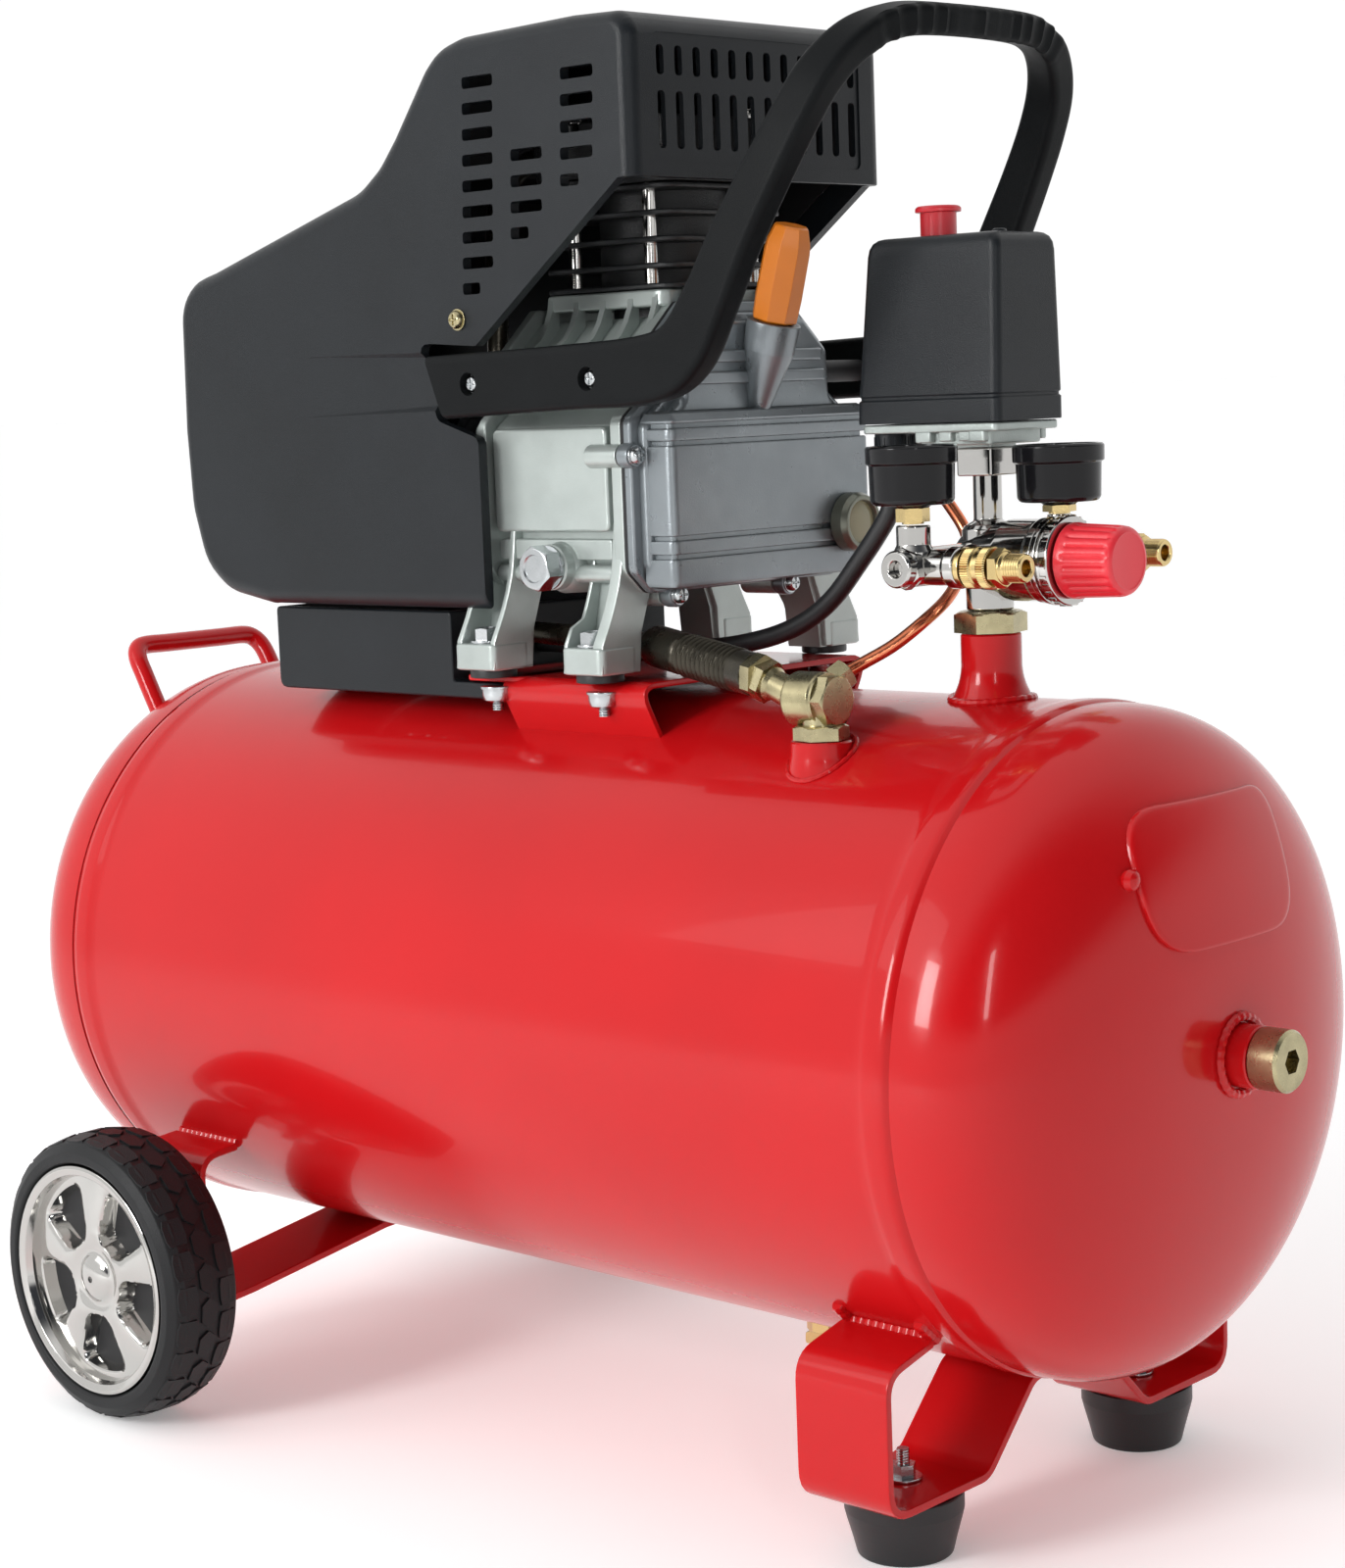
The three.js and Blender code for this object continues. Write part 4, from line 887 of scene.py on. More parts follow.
def make_cover():
    """The ribbed cover on the crankcase's open end, with the oil filler's mouth."""
    parts = [slab(case(), "x", 73.7, 79, 1.4), slab(case(5), "x", 77, 84.2, 2.4),
        slab(case(9), "x", 80, 91, 3.4)]
    bands = [(204.5, 218.3), (220.5, 226.9), (229.1, 270.9), (273.1, 278.9), (281.1, 287)]
    core = rounded([(80, -69.6), (96.6, -69.6), (96.6, 69.6), (80, 69.6)], [0, 3, 3, 0], steps=6)
    parts.append(prism(core, "z", 205.5, 286))
    for z0, z1 in bands:
        low, high = (3.0, 1.0) if z0 < 205 else ((1.0, 4.5) if z1 > 286 else (1.0, 1.0))
        plan = rounded([(80, -72), (99, -72), (99, 72), (80, 72)], [0, 4.5, 4.5, 0], steps=6)
        rings = []
        for z, by in ((z0, low), (z0 + low * 0.3, low * 0.3), (z0 + low, 0), (z1 - high, 0),
                (z1 - high * 0.3, high * 0.3), (z1, high)):
            rings.append([(x, y, z) for x, y in inset(plan, by)])
        parts.append(skin(rings))
    for z0, z1, half in ((298.5, 304.5, 46), (308.5, 314.5, 44)):
        parts.append(block("x", -half, half, z0, z1, 86, 94.0, 1.6, 1.2))
    parts.append(turned(rounded([(0, -48), (4.6, -47), (12.3, -14), (12.9, -3), (13, 0), (9.5, 0)],
        [0, 2, 3, 1, 0.6, 0], closed=False, steps=3) + [(9.4, -6), (0, -6)], 48, at=FILLER,
        lean=FILLER_LEAN))
    parts.append(prism([(88, 300), (88, 331), (100, 331), (100, 318)], "y", -4, 0))
    screws = []
    for y, z in COVER_SCREWS:
        parts.append(lathe(rod(6, 73.7, 80.6), 1.0, 28, "x", (0, y, z)))
        screws.append(facing(washer(5.0, 0, 0.8) + cross_head(4.2, 3.0).at(0, 0, 0.8), "x", (80.6, y, z)))
    # The cover takes the darker copy of the cast aluminium: painted shade.
    piece("cover_casting", total(parts), "cast_aluminium", ["crankcase_cover"], crisp=38, look="cover_painted_shade_grey")
    piece("cover_gasket", slab(case(0.1), "x", 72.2, 74.2, 0.2, 1), "black_rubber", look="painted_shade_joint_and_print_black")
    piece("cover_screws", total(screws), "zinc")


def make_filler_cap():
    facets = [(10.2, 0.4), (11.2, 1.2), (11.7, 12), (11.4, 34), (10.8, 38.5), (8.6, 45.2), (7.6, 46),
        (0, 46)]
    cap = turned([(0, 0.4)] + facets, 8, phase=pi / 8).moved(pose(FILLER, FILLER_LEAN, "Y"))
    stem = threaded(7.6, -18, 1, pitch=2.0, sides=32).moved(pose(FILLER, FILLER_LEAN, "Y"))
    piece("filler_cap_grip", cap + stem, "orange_plastic", ["oil_filler_cap"], "filler_cap", bevel=0.8,
        crisp=30)


def make_sight_glass():
    bezel = turned(rounded([(10.4, 99.3), (14.5, 99.3), (14.5, 106), (13, 109), (10.9, 109), (10.4, 107.4)],
        0.9, steps=3), 56, "x", SIGHT_GLASS)
    glass = turned([(0, 99.3), (10.6, 99.3), (10.6, 106.4), (7.5, 107.2), (0, 107.6)], 56, "x", SIGHT_GLASS)
    piece("sight_glass_lens", glass, "clear_glass", ["sight_glass"])
    piece("sight_glass_bezel", bezel, "clear_glass", look="pale_zinc")


# ---- cylinder and head ----
def make_cylinder():
    base, pitch = 344.3, 12.4
    barrel = [(24.6, 326), (25.6, 326), (25.6, base), (31, base), (31, base + 4 * pitch),
        (24.6, base + 4 * pitch)]
    fins = [slab(rectangle(CYLINDER_X - 43, CYLINDER_X + 43, -43, 43, 11, 6), "z", z - 2.6, z, 0.9)
        for z in [base + pitch * k + (2.7 if k == 0 else -0.1) for k in range(5)]]
    piece("cylinder_fins", turned(barrel, 64, at=(CYLINDER_X, 0, 0)) + total(fins), "black_iron",
        ["cylinder"])


def make_head():
    plan = rectangle(CYLINDER_X - 45, CYLINDER_X + 45, -45, 45, 8, 5)
    piece("valve_plate_edge", slab(plan, "z", 394.3, 398, 0.5, 2), "steel", ["valve_plate"],
        look="black_iron")
    parts = [slab(plan, "z", 398.4, 415.4, 1.2, ends=(True, False))]
    for dx in (-36.5, -21, -7, 7, 21, 36.5):
        half = 5.0 if abs(dx) < 30 else 7.0
        parts.append(block("z", CYLINDER_X + dx - half, CYLINDER_X + dx + half, -44.6, 44.6, 410, 425, 2.0,
            1.0))
    for z in (403, 408.5):
        parts.append(slab(inset(plan, -0.1), "z", z - 1, z + 1, 0.4, 2))
    # The aluminium head takes the black iron look: painted shade, as it sits in shadow inside the shroud.
    piece("head_casting", total(parts), "cast_aluminium", ["cylinder_head"], crisp=38, look="black_iron")


def make_head_studs():
    for i, (dx, dy) in enumerate(((-25, -36), (-25, 36), (25, -36), (25, 36))):
        at = (CYLINDER_X + dx, dy, 0)
        stud = turned(rod(3.3, 344.4, 425.6), 20, at=at)
        stud += threaded(3.3, 425.6, 432, at=at, sides=20) + threaded(3.5, 344.4, 366, at=at, sides=20)
        stud += lathe(rod(7.5, 425.1, 426.3), 0.3, 32, at=at)
        piece(f"head_stud_{i + 1}_rod", stud + hex_head(10, 426.3, 430.4, phase=i).at(*at), "zinc",
            [f"head_stud_{i + 1}"], look="chrome")


# ---- shroud and handle ----
# Corners of the shroud's side as (x, z), each with its rounding, and how far the rim of the side
# next after it is rolled over.
SHROUD_SIDE = [(-178, 194, 20, 9), (-212, 200, 30, 9), (-230, 213, 30, 9), (-239, 243, 40, 8),
    (-241, 285, 60, 8), (-239, 350, 25, 8), (-228, 363, 25, 8), (-210, 367, 30, 8), (-92, 400, 40, 8),
    (-76, 411, 40, 8), (-64, 424, 40, 8), (-41, 453, 30, 7), (-30, 462.5, 30, 7), (-14, 466.5, 30, 7),
    (60, 468.5, 30, 7), (91, 467.5, 12, 7), (98, 460, 12, 7), (98, 393, 0.8, 0), (89, 393, 1.5, 0),
    (-10, 321, 3, 0), (-51, 324, 6, 0), (-39, 286, 6, 0), (-11, 277, 5, 0), (-11, 194, 3, 9)]


def shroud_slots():
    """The air slots: columns in the sides, and rows in the two ends."""
    slots = []
    for x0, x1, top, rows in ((-11, 10, 447, 9), (20, 41, 411, 4), (55, 76, 445, 5)):
        for row in range(rows):
            z, shift = top - 12 * row, -0.7 * row
            end = x0 + 12 if row == rows - 1 else x1
            slot = rectangle(x0 + shift, end + shift, z - 5.5, z, 1.7, 3)
            slots += [prism(slot, "y", *sorted((side * 80, side * 96))) for _, side in SIDES]
    for column in range(12):
        y = (column - 5.5) * 12.3
        slots += [prism(rectangle(y - 2.5, y + 2.5, z0, z1, 2.3, 3), "x", 88, 106) for z0,
            z1 in ((439, 452.5), (406, 432))]
    for row in range(6):
        slots.append(prism(rectangle(-50, 50, 262 + 13 * row, 268 + 13 * row, 2.4, 3), "x", -252, -228))
    return total(slots)


def shroud_creases():
    """Shallow slanted cuts along the sides, and the sunk panel of the near end."""
    creases = []
    for _, side in SIDES:
        low, high = [], []
        for x, y, narrow in ((-165, 90.6, 0), (-20, 86.6, 5)):
            low += [(x, side * y, 321 - narrow), (x, side * y, 289 + narrow)]
            high += [(x, side * 99, 327), (x, side * 99, 283)]
        creases.append(Shape(low + high, [(0, 1, 3, 2), (4, 5, 7, 6), (0, 1, 5, 4), (2, 3, 7, 6),
            (0, 2, 6, 4), (1, 3, 7, 5)]))
    creases.append(prism(rectangle(-73, 73, 400, 458, 4), "x", 97.2, 104))
    return total(creases)


def make_shroud():
    half, steps = 90.0, 6
    outline = [(x, z) for x, z, _, _ in SHROUD_SIDE]
    rings = []
    for sign in (-1, 1):
        rim = []
        for k in range(steps + 1):
            t = pi / 2 * k / steps
            ring = offset(outline, [roll * (1 - sin(t)) for _, _, _, roll in SHROUD_SIDE])
            line = rounded(ring, [r for _, _, r, _ in SHROUD_SIDE], steps=4)
            rim.append([(x, sign * (half - 8 * (1 - cos(t))), z) for x, z in line])
        rings += rim if sign < 0 else rim[::-1]
    made = piece("shroud_shell", skin(rings), "black_plastic", ["shroud"], crisp=30)

    hollow = [(-178, 186), (-178, 198), (-210, 204), (-226, 216), (-235, 243), (-237, 285), (-235, 347),
        (-226, 359), (-208, 363), (-90, 396), (-74, 407), (-62, 420), (-38, 449), (-29, 458), (-13, 462),
        (60, 464), (88, 463), (94.6, 456), (94.6, 380), (112, 380), (112, 180), (-178, 180)]
    carve(made, prism(rounded(hollow, 4, steps=2), "y", -84.5, 84.5), 30)
    carve(made, shroud_slots(), 30)
    carve(made, shroud_creases(), 26)


def make_shroud_shade_sheet():
    # A black sheet inside the shroud's far side, behind its side slots: painted shade that keeps the slots
    # dark.
    shade_sheet = [(-20, 340), (-6, 340), (74, 398), (88, 398), (88, 457), (-20, 457)]
    piece("shroud_shade_sheet", prism(shade_sheet, "y", 81, 82.4), "black_plastic", look="painted_shade_joint_and_print_black")


def make_shroud_screws():
    screws = []
    for _, side in SIDES:
        head = washer(5.2, 0, 0.9) + cross_head(4.4, 2.8).at(0, 0, 0.9)
        screws.append(facing(head, "y", (-21, side * 90, 334), side))
    piece("shroud_screws", total(screws), "yellow_zinc")


def make_lower_housing():
    housing = rounded([(-185, 192), (-50, 192), (-50, 157), (-16, 157), (-16, 149), (-185, 149)],
        [2.5, 2.5, 2, 2, 2.5, 5], steps=3)
    lower = piece("lower_housing_shell", slab(housing, "y", -78, 78, 1.4, 3), "black_plastic",
        ["lower_housing"], crisp=30)
    carve(lower, prism([(-182, 200), (-53, 200), (-53, 154), (-19, 154), (-19, 140), (-182, 140)], "y", -75,
        75), 30)
    carve(lower, turned(rod(TANK_R + 1, -200, 0), 160, "x"), 30)


# Stations of the front half of the handle: its middle line, its width and thickness, and the
# direction of its width.
HANDLE = [((-30, -98.5, 302), 30, 14, (0.2, 0, 1)), ((60, -98.5, 304), 30, 14, (0, 0, 1)),
    ((112, -98.5, 306), 31, 14, (-0.15, 0, 1)), ((135, -98.5, 314), 29, 15, (-0.62, 0, 0.78)),
    ((152, -98, 337), 25, 15, (-0.84, 0, 0.54)), ((166, -96.5, 362), 23, 15, (-0.86, 0, 0.5)),
    ((183, -93, 390), 21, 15, (-0.86, 0, 0.5)), ((195.5, -89, 411), 20, 15, (-0.87, 0, 0.48)),
    ((205, -83, 428), 19.5, 15, (-0.9, 0, 0.42)), ((213, -71, 441.5), 18, 15, (-0.94, 0, 0.34)),
    ((219, -54, 449.5), 17, 14, (-0.98, 0, 0.2)), ((222, -30, 452.5), 18, 14, (-0.98, 0, 0.18))]


def make_handle():
    stations = HANDLE + [((x, -y, z), wide, thick, width) for (x, y, z), wide, thick, width in HANDLE[::-1]]
    steps = 14
    line = smooth_line([s[0] for s in stations], steps)
    widths = smooth_line([s[3] for s in stations], steps)
    sizes = smooth_line([(s[1], s[2], 0) for s in stations], steps)
    n, rings = len(line), []
    for i, p in enumerate(line):
        ahead = (line[min(i + 1, n - 1)] - line[max(i - 1, 0)]).normalized()
        thick = ahead.cross(widths[i]).normalized()
        wide = thick.cross(ahead)
        a, b = sizes[i].x / 2, sizes[i].y / 2
        section = rounded([(a, -b), (a, b), (-a, b), (-a, -b)], 4.2, steps=5)
        grip = max(0.0, min(1.0, (66 - abs(p.y)) / 8))
        ring = []
        for u, v in section:
            ripple = grip * 1.7 * abs(sin(pi * p.y / 9)) * (1 if u < -a * 0.6 else 0)
            q = p + wide * (u + ripple) + thick * v
            slant = max(0.0, 1 - (p.x + 30) / 36) * (317 - q.z) * 0.36
            ring.append(q + Vector((slant, 0, 0)))
        rings.append(ring)
    made = piece("handle_bow", skin(rings), "black_plastic", ["carry_handle"], crisp=34,
        look="handle_black")
    holes, screws = [], []
    for _, side in SIDES:
        for x in HANDLE_SCREW_XS:
            holes.append(facing(turned(solid((5.4, 100.2), (5.6, 112)), 32), "y", (x, 0, HANDLE_SCREW_Z),
                side))
            head = washer(4.9, 0, 0.8) + cross_head(4.0, 2.8).at(0, 0, 0.8)
            screws.append(facing(head, "y", (x, side * 100.2, HANDLE_SCREW_Z), side))
    carve(made, total(holes), 34)
    piece("handle_screws", total(screws), "zinc")


# ---- air lines ----
def between(start, end):
    """The move that lays +Z from one point towards another, and how far apart they are."""
    way = Vector(end) - Vector(start)
    return Matrix.Translation(start) @ way.to_track_quat("Z", "Y").to_matrix().to_4x4(), way.length


HOSE = ((147, -72.5, 166.5), (62, -50, 176))


def make_discharge_line():
    lay, length = between(*HOSE)
    profile, h = [(0, 0), (9.6, 0.2), (9.9, 1), (9.9, 12), (8.6, 12.6)], 13.0
    while h < length * 0.6:
        profile += [(7.6, h), (9.4, h + 0.8), (10.4, h + 1.7), (10.4, h + 2.1), (9.4, h + 3.0),
            (7.6, h + 3.6)]
        h += 4.0
    profile += [(8.2, h), (9.8, h + 1.2), (10.1, h + 4), (10.1, length - 4), (8.4, length), (0, length)]
    ribbed = turned(profile, 40).moved(lay)
    lead = [(64, -50.5, 176), (20, -47, 179), (-12, -45, 179), (-32, -45, 182), (-41, -45, 194),
        (-42, -45, 240), (-42, -44, 330), (-42, -41, 385), (-38, -35, 402), (-30, -30, 410),
        (-22, -30, 411), (-14, -30, 411)]
    piece("discharge_line", ribbed + tube(lead, 5.4, sides=20, steps=6), "bronze_tube", ["discharge_pipe"],
        crisp=62)


def make_check_valve():
    nut = hex_head(18.5, -7.5, 0.4).moved(between(*HOSE)[0])
    x, y, _ = at = CHECK_VALVE
    side = (0, y + 1, 157)
    parts = [turned(rod(8.4, 139.4, 158), 40, at=at), hex_head(22, 139.4, 146, phase=0.3).at(*at),
        lathe(solid((10.6, 171.5), (12.5, 173.5), (12.5, 188), (11.6, 189.4), (11.2, 190)),
        [0, 0.5, 2, 0.5, 0.5, 0.3, 0], 48, "x", side, steps=3), facing(hex_head(21.5, 190, 196.8,
        phase=0.5), "x", side), turned(rod(12.2, 189.2, 190.4), 48, "x", side)]
    lay, far = between((x - 12, y + 1, 157), (148.5, -73, 166.3))
    parts.append(turned(solid((9.2, 0), (9.2, 4), (7.2, 6), (6.8, far - 12), (8, far - 10), (8, far - 9),
        (8, far)), 40).moved(lay))
    parts.append(hex_head(17.5, far - 9, far, phase=0.2).moved(lay))
    lay, far = between((x - 8, y + 7, 158), (x - 2, y + 22, 167.5))
    parts += [turned(rod(6, 0, far - 8), 32).moved(lay), hex_head(13, far - 9, far - 0.5, phase=0.1,
        dimple=0.6).moved(lay)]
    piece("check_valve_body", total(parts) + nut, "yellow_zinc", ["check_valve"], crisp=30)


def make_unloader_line():
    thin = [(185.2, -52.4, 167.8), (188, -45, 171), (197, -35, 178), (205, -25, 187), (206, -8, 196),
        (203.5, 5, 204), (201, 14, 213), (198, 20, 225), (190, 19, 238), (183, 15, 249),
        (GLAND_X, GLAND_Y, 257), (GLAND_X, GLAND_Y, 261.7)]
    piece("unloader_line", tube(thin, 2.95, sides=20, steps=8), "copper", ["unloader_tube"], crisp=60)


def make_riser_nut():
    piece("riser_nut_hex", hex_head(29, 182.4, 192, phase=0.25).at(RISER_X, 0, 0)
        + turned(solid((12.6, 191.8), (12.2, 192.2)), 40, at=(RISER_X, 0, 0)), "yellow_zinc", ["riser_nut"],
        crisp=30)


def make_intake_filter():
    filter_body = lathe(solid((15, -34), (15, -8), (8, -8), (8, 0)), 1.2, 48, "x", INTAKE_FILTER, steps=3)
    ribs = [turned(rod(15, h, h + 1.6), 48, "x", INTAKE_FILTER) for h in (-30, -25, -20, -15)]
    piece("intake_filter_can", filter_body + total(ribs), "black_plastic", ["intake_filter"])


def make_motor_cable():
    cable = [(GLAND_X, -GLAND_Y, 261.7), (GLAND_X, -GLAND_Y, 250), (179.5, -12.5, 238), (172, -13, 227),
        (160, -13.5, 213), (146, -14, 198), (131, -14.5, 187.5), (113, -15, 180), (92, -15, 175),
        (70, -15, 172), (45, -15, 171), (20, -15, 171), (-8, -15, 171), (-30, -15, 171), (-49.5, -15, 171)]
    made = piece("motor_cable_jacket", tube(cable, 4.6, sides=20, steps=6), "black_rubber", ["motor_cable"],
        crisp=60)


# ---- manifold, regulator and gauges ----
MANIFOLD_Z = 215.0
REGULATOR = (0, 0, MANIFOLD_Z)
OUTLET_YS = (-50.0, 55.0)


def make_manifold():
    x, z = RISER_X, MANIFOLD_Z
    up, across = (x, 0, 0), (x, 0, z)
    parts = [lathe(solid((10.8, 192.4), (10.8, 206), (12, 209), (12, 229), (10.5, 231), (6.5, 233),
        (6.5, 254)), 1.2, 48, at=up, steps=3), lathe(solid((11, 213.5), (13, 216), (16, 227), (18.4, 240),
        (18.5, 246), (18.5, 257), (19.4, 258.5), (19.4, 262)), [0, 1, 3, 8, 8, 1, 1, 1, 0.4, 0], 64, "x",
        REGULATOR, steps=3), turned(solid((8.6, -58), (8.6, 65), (7.8, 66)), 48, "y", across),
        facing(hex_head(16.5, 58, 63, phase=0.4) + turned(rounded([(3.6, 62), (8.3, 62), (8.3, 67),
        (7.4, 68), (4.2, 68), (3.6, 67.4)], 0.5, steps=2), 48) + turned(rod(3.7, 62, 64), 6), "y", across,
        -1), lathe(solid((9, 215), (9, 222), (7.6, 225), (7.6, 233.6)), 1, 48, at=(x - 1, -53, 0), steps=3),
        turned(rod(9.4, 60, 66), 48, "y", across), block("z", x - 10, x + 10, -10, 10, 253, 265.7, 2, 1)]
    for y in OUTLET_YS:
        parts.append(lathe(solid((8, x), (8, 243), (9.3, 245), (9.3, 249.6), (8.4, 250.2)), 0.8, 48, "x",
            (0, y, z)))
    parts.append(lathe(rod(5.6, 225, 235.5), 0.6, 40, at=(x + 38, 2, 0)))
    piece("manifold_body", total(parts), "chrome", ["manifold"], crisp=34)


def make_bonnet():
    bonnet = lathe(solid((20, 262.3), (20, 265), (18.4, 265.4), (18.4, 267.4), (20, 267.8), (20, 271.4),
        (19.4, 272), (10.4, 272), (10.4, 291)), 0.5, 72, "x", REGULATOR)
    ticks = []
    for a in turns(30):
        tick = box(267.9, 271.2, -0.5, 0.5, 19.6, 20.5)
        ticks.append(tick.moved(pose(REGULATOR, a, "X")))
    piece("bonnet_ring", bonnet + total(ticks), "chrome", ["regulator_bonnet"])


def make_knob():
    sides, ribs, z = 120, 20, MANIFOLD_Z
    rings = []
    for h, r, depth in ((272.8, 16.2, 0), (273.4, 16.9, 0), (275.5, 17.0, 0), (277, 16.7, 0.2),
            (278.5, 16.4, 1.0), (297.5, 15.7, 1.0), (299.2, 15.5, 0.5), (300.5, 15.0, 0), (301.5, 14.1, 0),
            (301.9, 12.6, 0), (301.5, 11.9, 0), (301.4, 0.01, 0)):
        ring = []
        for a in turns(sides):
            wave = 0.5 + 0.5 * cos(ribs * a)
            groove = depth * (1 - min(1.0, wave * 2.4))
            ring.append((h, (r - groove) * cos(a), z + (r - groove) * sin(a)))
        rings.append(ring)
    inner = [[(h, r * cos(a), z + r * sin(a)) for a in turns(sides)] for h,
        r in ((293, 0.01), (293, 11), (272.8, 11))]
    piece("knob_grip", skin(inner + rings), "red_plastic", ["regulator_knob"], "knob", crisp=34)


def make_gauges():
    x = RISER_X
    for name, gx, gy, foot, low, high in (("left", x - 1, -53, 234.0, 242.5, 268.5),
            ("right", x + 38, 2, 235.6, 241.0, 266.5)):
        make_gauge(name, gx, gy, foot, low, high)


def make_gauge(name, x, y, foot, low, high):
    """A small pressure gauge lying with its dial up; the dial has a scale and a needle."""
    at = (x, y, 0)
    case = lathe(solid((7, low - 1.5), (9, low), (17.4, low), (18.6, low + 2), (19, high - 8.5),
        (20.3, high - 7.6), (20.4, high - 1), (19.4, high), (17.6, high), (17.2, high - 2.4)),
        [0, 1, 1, 2, 2, 0.6, 0.6, 0.8, 0.8, 0.4, 0.3, 0], 72, at=at, steps=3)
    piece(f"gauge_{name}_case", case, "black_plastic", [f"gauge_{name}"], look="gloss_black")
    piece(f"gauge_{name}_stem", turned(rod(4.9, foot + 0.1, foot + 1), 32, at=at)
        + hex_head(13, foot + 1, low - 1, phase=0.2).at(*at), "brass", look="brass")
    dial = turned(rod(17.1, high - 2.3, high - 2.0), 64, at=at)
    piece(f"gauge_{name}_dial", dial, "black_plastic", look="dial_white")
    marks = []
    for k in range(25):
        a = radians(225 - 270 * k / 24)
        inner = 12.6 if k % 4 == 0 else 14.2
        mark = box(inner, 15.8, -0.16 - 0.14 * (k % 4 == 0), 0.16 + 0.14 * (k % 4 == 0), high - 2.0, high
            - 1.9)
        marks.append(mark.moved(pose(at, a, "Z")))
    piece(f"gauge_{name}_scale", total(marks), "black_plastic", look="painted_shade_joint_and_print_black")
    needle = prism([(-3.5, -0.5), (-3.5, 0.5), (0, 0.75), (12.8, 0.12), (12.8, -0.12), (0, -0.75)], "z",
        high - 1.7, high - 1.4)
    hub = turned(solid((1.9, high - 2.0), (1.7, high - 1.1)), 24)
    piece(f"gauge_{name}_needle", (needle + hub).moved(pose(at, radians(225), "Z")), "black_plastic",
        look="red_plastic")


def make_outlets():
    for (name, _), y in zip(SIDES, OUTLET_YS):
        at = (250, y, MANIFOLD_Z)
        profile = rounded([(0, 0.4), (9, 0.4), (9, 3.0), (5.1, 3.2), (5.1, 18), (7.4, 18), (7.4, 23.5),
            (6.2, 24.5), (6.2, 33.2), (5.6, 34), (3.9, 34), (3.5, 33.4), (3.5, 26), (0, 26)],
            [0, 0.5, 0.4, 0.2, 0.2, 0.3, 0.5, 0.4, 0.3, 0.3, 0.3, 0.3, 0.2, 0], closed=False, steps=2)
        threads = [turned([(5.0, h), (6.35, h + 0.3), (6.35, h + 0.6), (5.0, h + 0.9)], 40, "x", at)
            for h in (25.2, 26.5, 27.8, 29.1, 30.4, 31.7)]
        piece(f"outlet_{name}_nipple", turned(profile, 48, "x", at) + total(threads)
            + facing(hex_head(15.2, 18.4, 23.2), "x", at), "brass", [f"outlet_{name}"])
        sides = 108
        rings = []
        for h, r, depth in ((3.8, 5.6, 0), (3.8, 8.4, 0), (4.2, 9.0, 0.4), (8.4, 9.0, 0.4), (8.8, 8.5, 0),
                (9.2, 7.9, 0), (12.2, 7.9, 0), (12.6, 8.6, 0), (13, 9.1, 0.4), (16.6, 9.1, 0.4),
                (17.2, 8.4, 0), (17.3, 5.6, 0)):
            rings.append([(r + depth * (0.5 - (k % 2)), tau * k / sides, h) for k in range(sides)])
        shape = skin([[(r * cos(a), r * sin(a), h) for r, a, h in ring] for ring in rings], closed=True)
        piece(f"outlet_{name}_collar", facing(shape, "x", at), "brass", [f"outlet_sleeve_{name}"],
            f"tap_{name}", crisp=25)


def make_safety_valve():
    x, _, z = at = (RISER_X, 0, MANIFOLD_Z)
    valve = lathe(solid((7, 66.4), (7, 71.6), (8.9, 72.4), (8.9, 79.6), (6.5, 81), (6.5, 91.4), (5.6, 92),
        (2.6, 92), (2.6, 98.6)), 0.5, 40, "y", at)
    ring = [(x + 5.2 * cos(t), 94.2, z + 5.2 * sin(t)) for t in turns(12)]
    piece("safety_valve_body", valve + facing(hex_head(17.5, 72.4, 79.4), "y", at), "brass",
        ["safety_valve"])
    piece("safety_valve_pull", tube(ring, 0.7, sides=8, steps=4, closed=True), "zinc")


# ---- pressure switch ----
def make_switch_base():
    parts = [slab(rectangle(216, 236, -10, 10, 2), "z", 265.8, 268, 0.5, 2),
        block("z", 203, 243, -20, 20, 267, 274, 4, 1.2), block("z", 173, 249.5, -23.5, 23.5, 273, 277, 3,
        1.0)]
    for x in (208, 238):
        for y in (-21.4, 21.4):
            parts.append(block("z", x - 4.5, x + 4.5, y - 2, y + 2, 268.5, 273.5, 1.2, 0.8))
    for x in (209, 220, 231):
        parts += [block("z", x - 3.6, x + 3.6, *sorted((side * 18, side * 22.6)), 269, 273.6, 1, 0.6) for _,
            side in SIDES]
    piece("switch_flange", total(parts), "cast_aluminium", ["switch_base"])


def make_glands():
    glands = []
    for _, side in SIDES:
        at = (GLAND_X, side * GLAND_Y, 0)
        glands.append(lathe(solid((6.2, 262), (7.8, 265.5), (8, 271), (8, 273.4)), 0.8, 40, at=at, steps=3))
        for a in turns(18):
            rib = box(7.6, 8.3, -0.35, 0.35, 265, 271.5)
            glands.append(rib.moved(pose(at, a, "Z")))
    piece("switch_glands", total(glands), "black_plastic")


def make_hood():
    sections = [(277.4, 171.2, 251.4, 24.9), (278, 171.0, 251.5, 25), (287.4, 171.4, 251.5, 25),
        (288.2, 172.2, 250.8, 24.3), (289.2, 172.2, 250.8, 24.3), (290.0, 171.7, 251.4, 24.9),
        (300, 172.8, 251.4, 24.5), (352, 177.1, 251.0, 22.7), (355.5, 177.8, 250.6, 22.3),
        (358, 179.2, 249.4, 21.4), (359.5, 181.2, 247.6, 19.8), (360, 183.2, 245.8, 18)]
    rings = [[(x, y, z) for x, y in rectangle(x0, x1, -h, h, 4.2, 6)] for z, x0, x1, h in sections]
    cover = piece("switch_hood", skin(rings), "black_plastic", ["switch_cover"], crisp=28)
    carve(cover, turned(solid((9.2, 328), (9.2, 358.6), (10.2, 361)), 48, at=BUTTON), 28)
    screw = washer(3.8, 0, 0.6) + cross_head(3.4, 2.0).at(0, 0, 0.6)
    piece("switch_cover_screw", facing(screw, "z", (236, 0, 359.4)), "black_plastic")


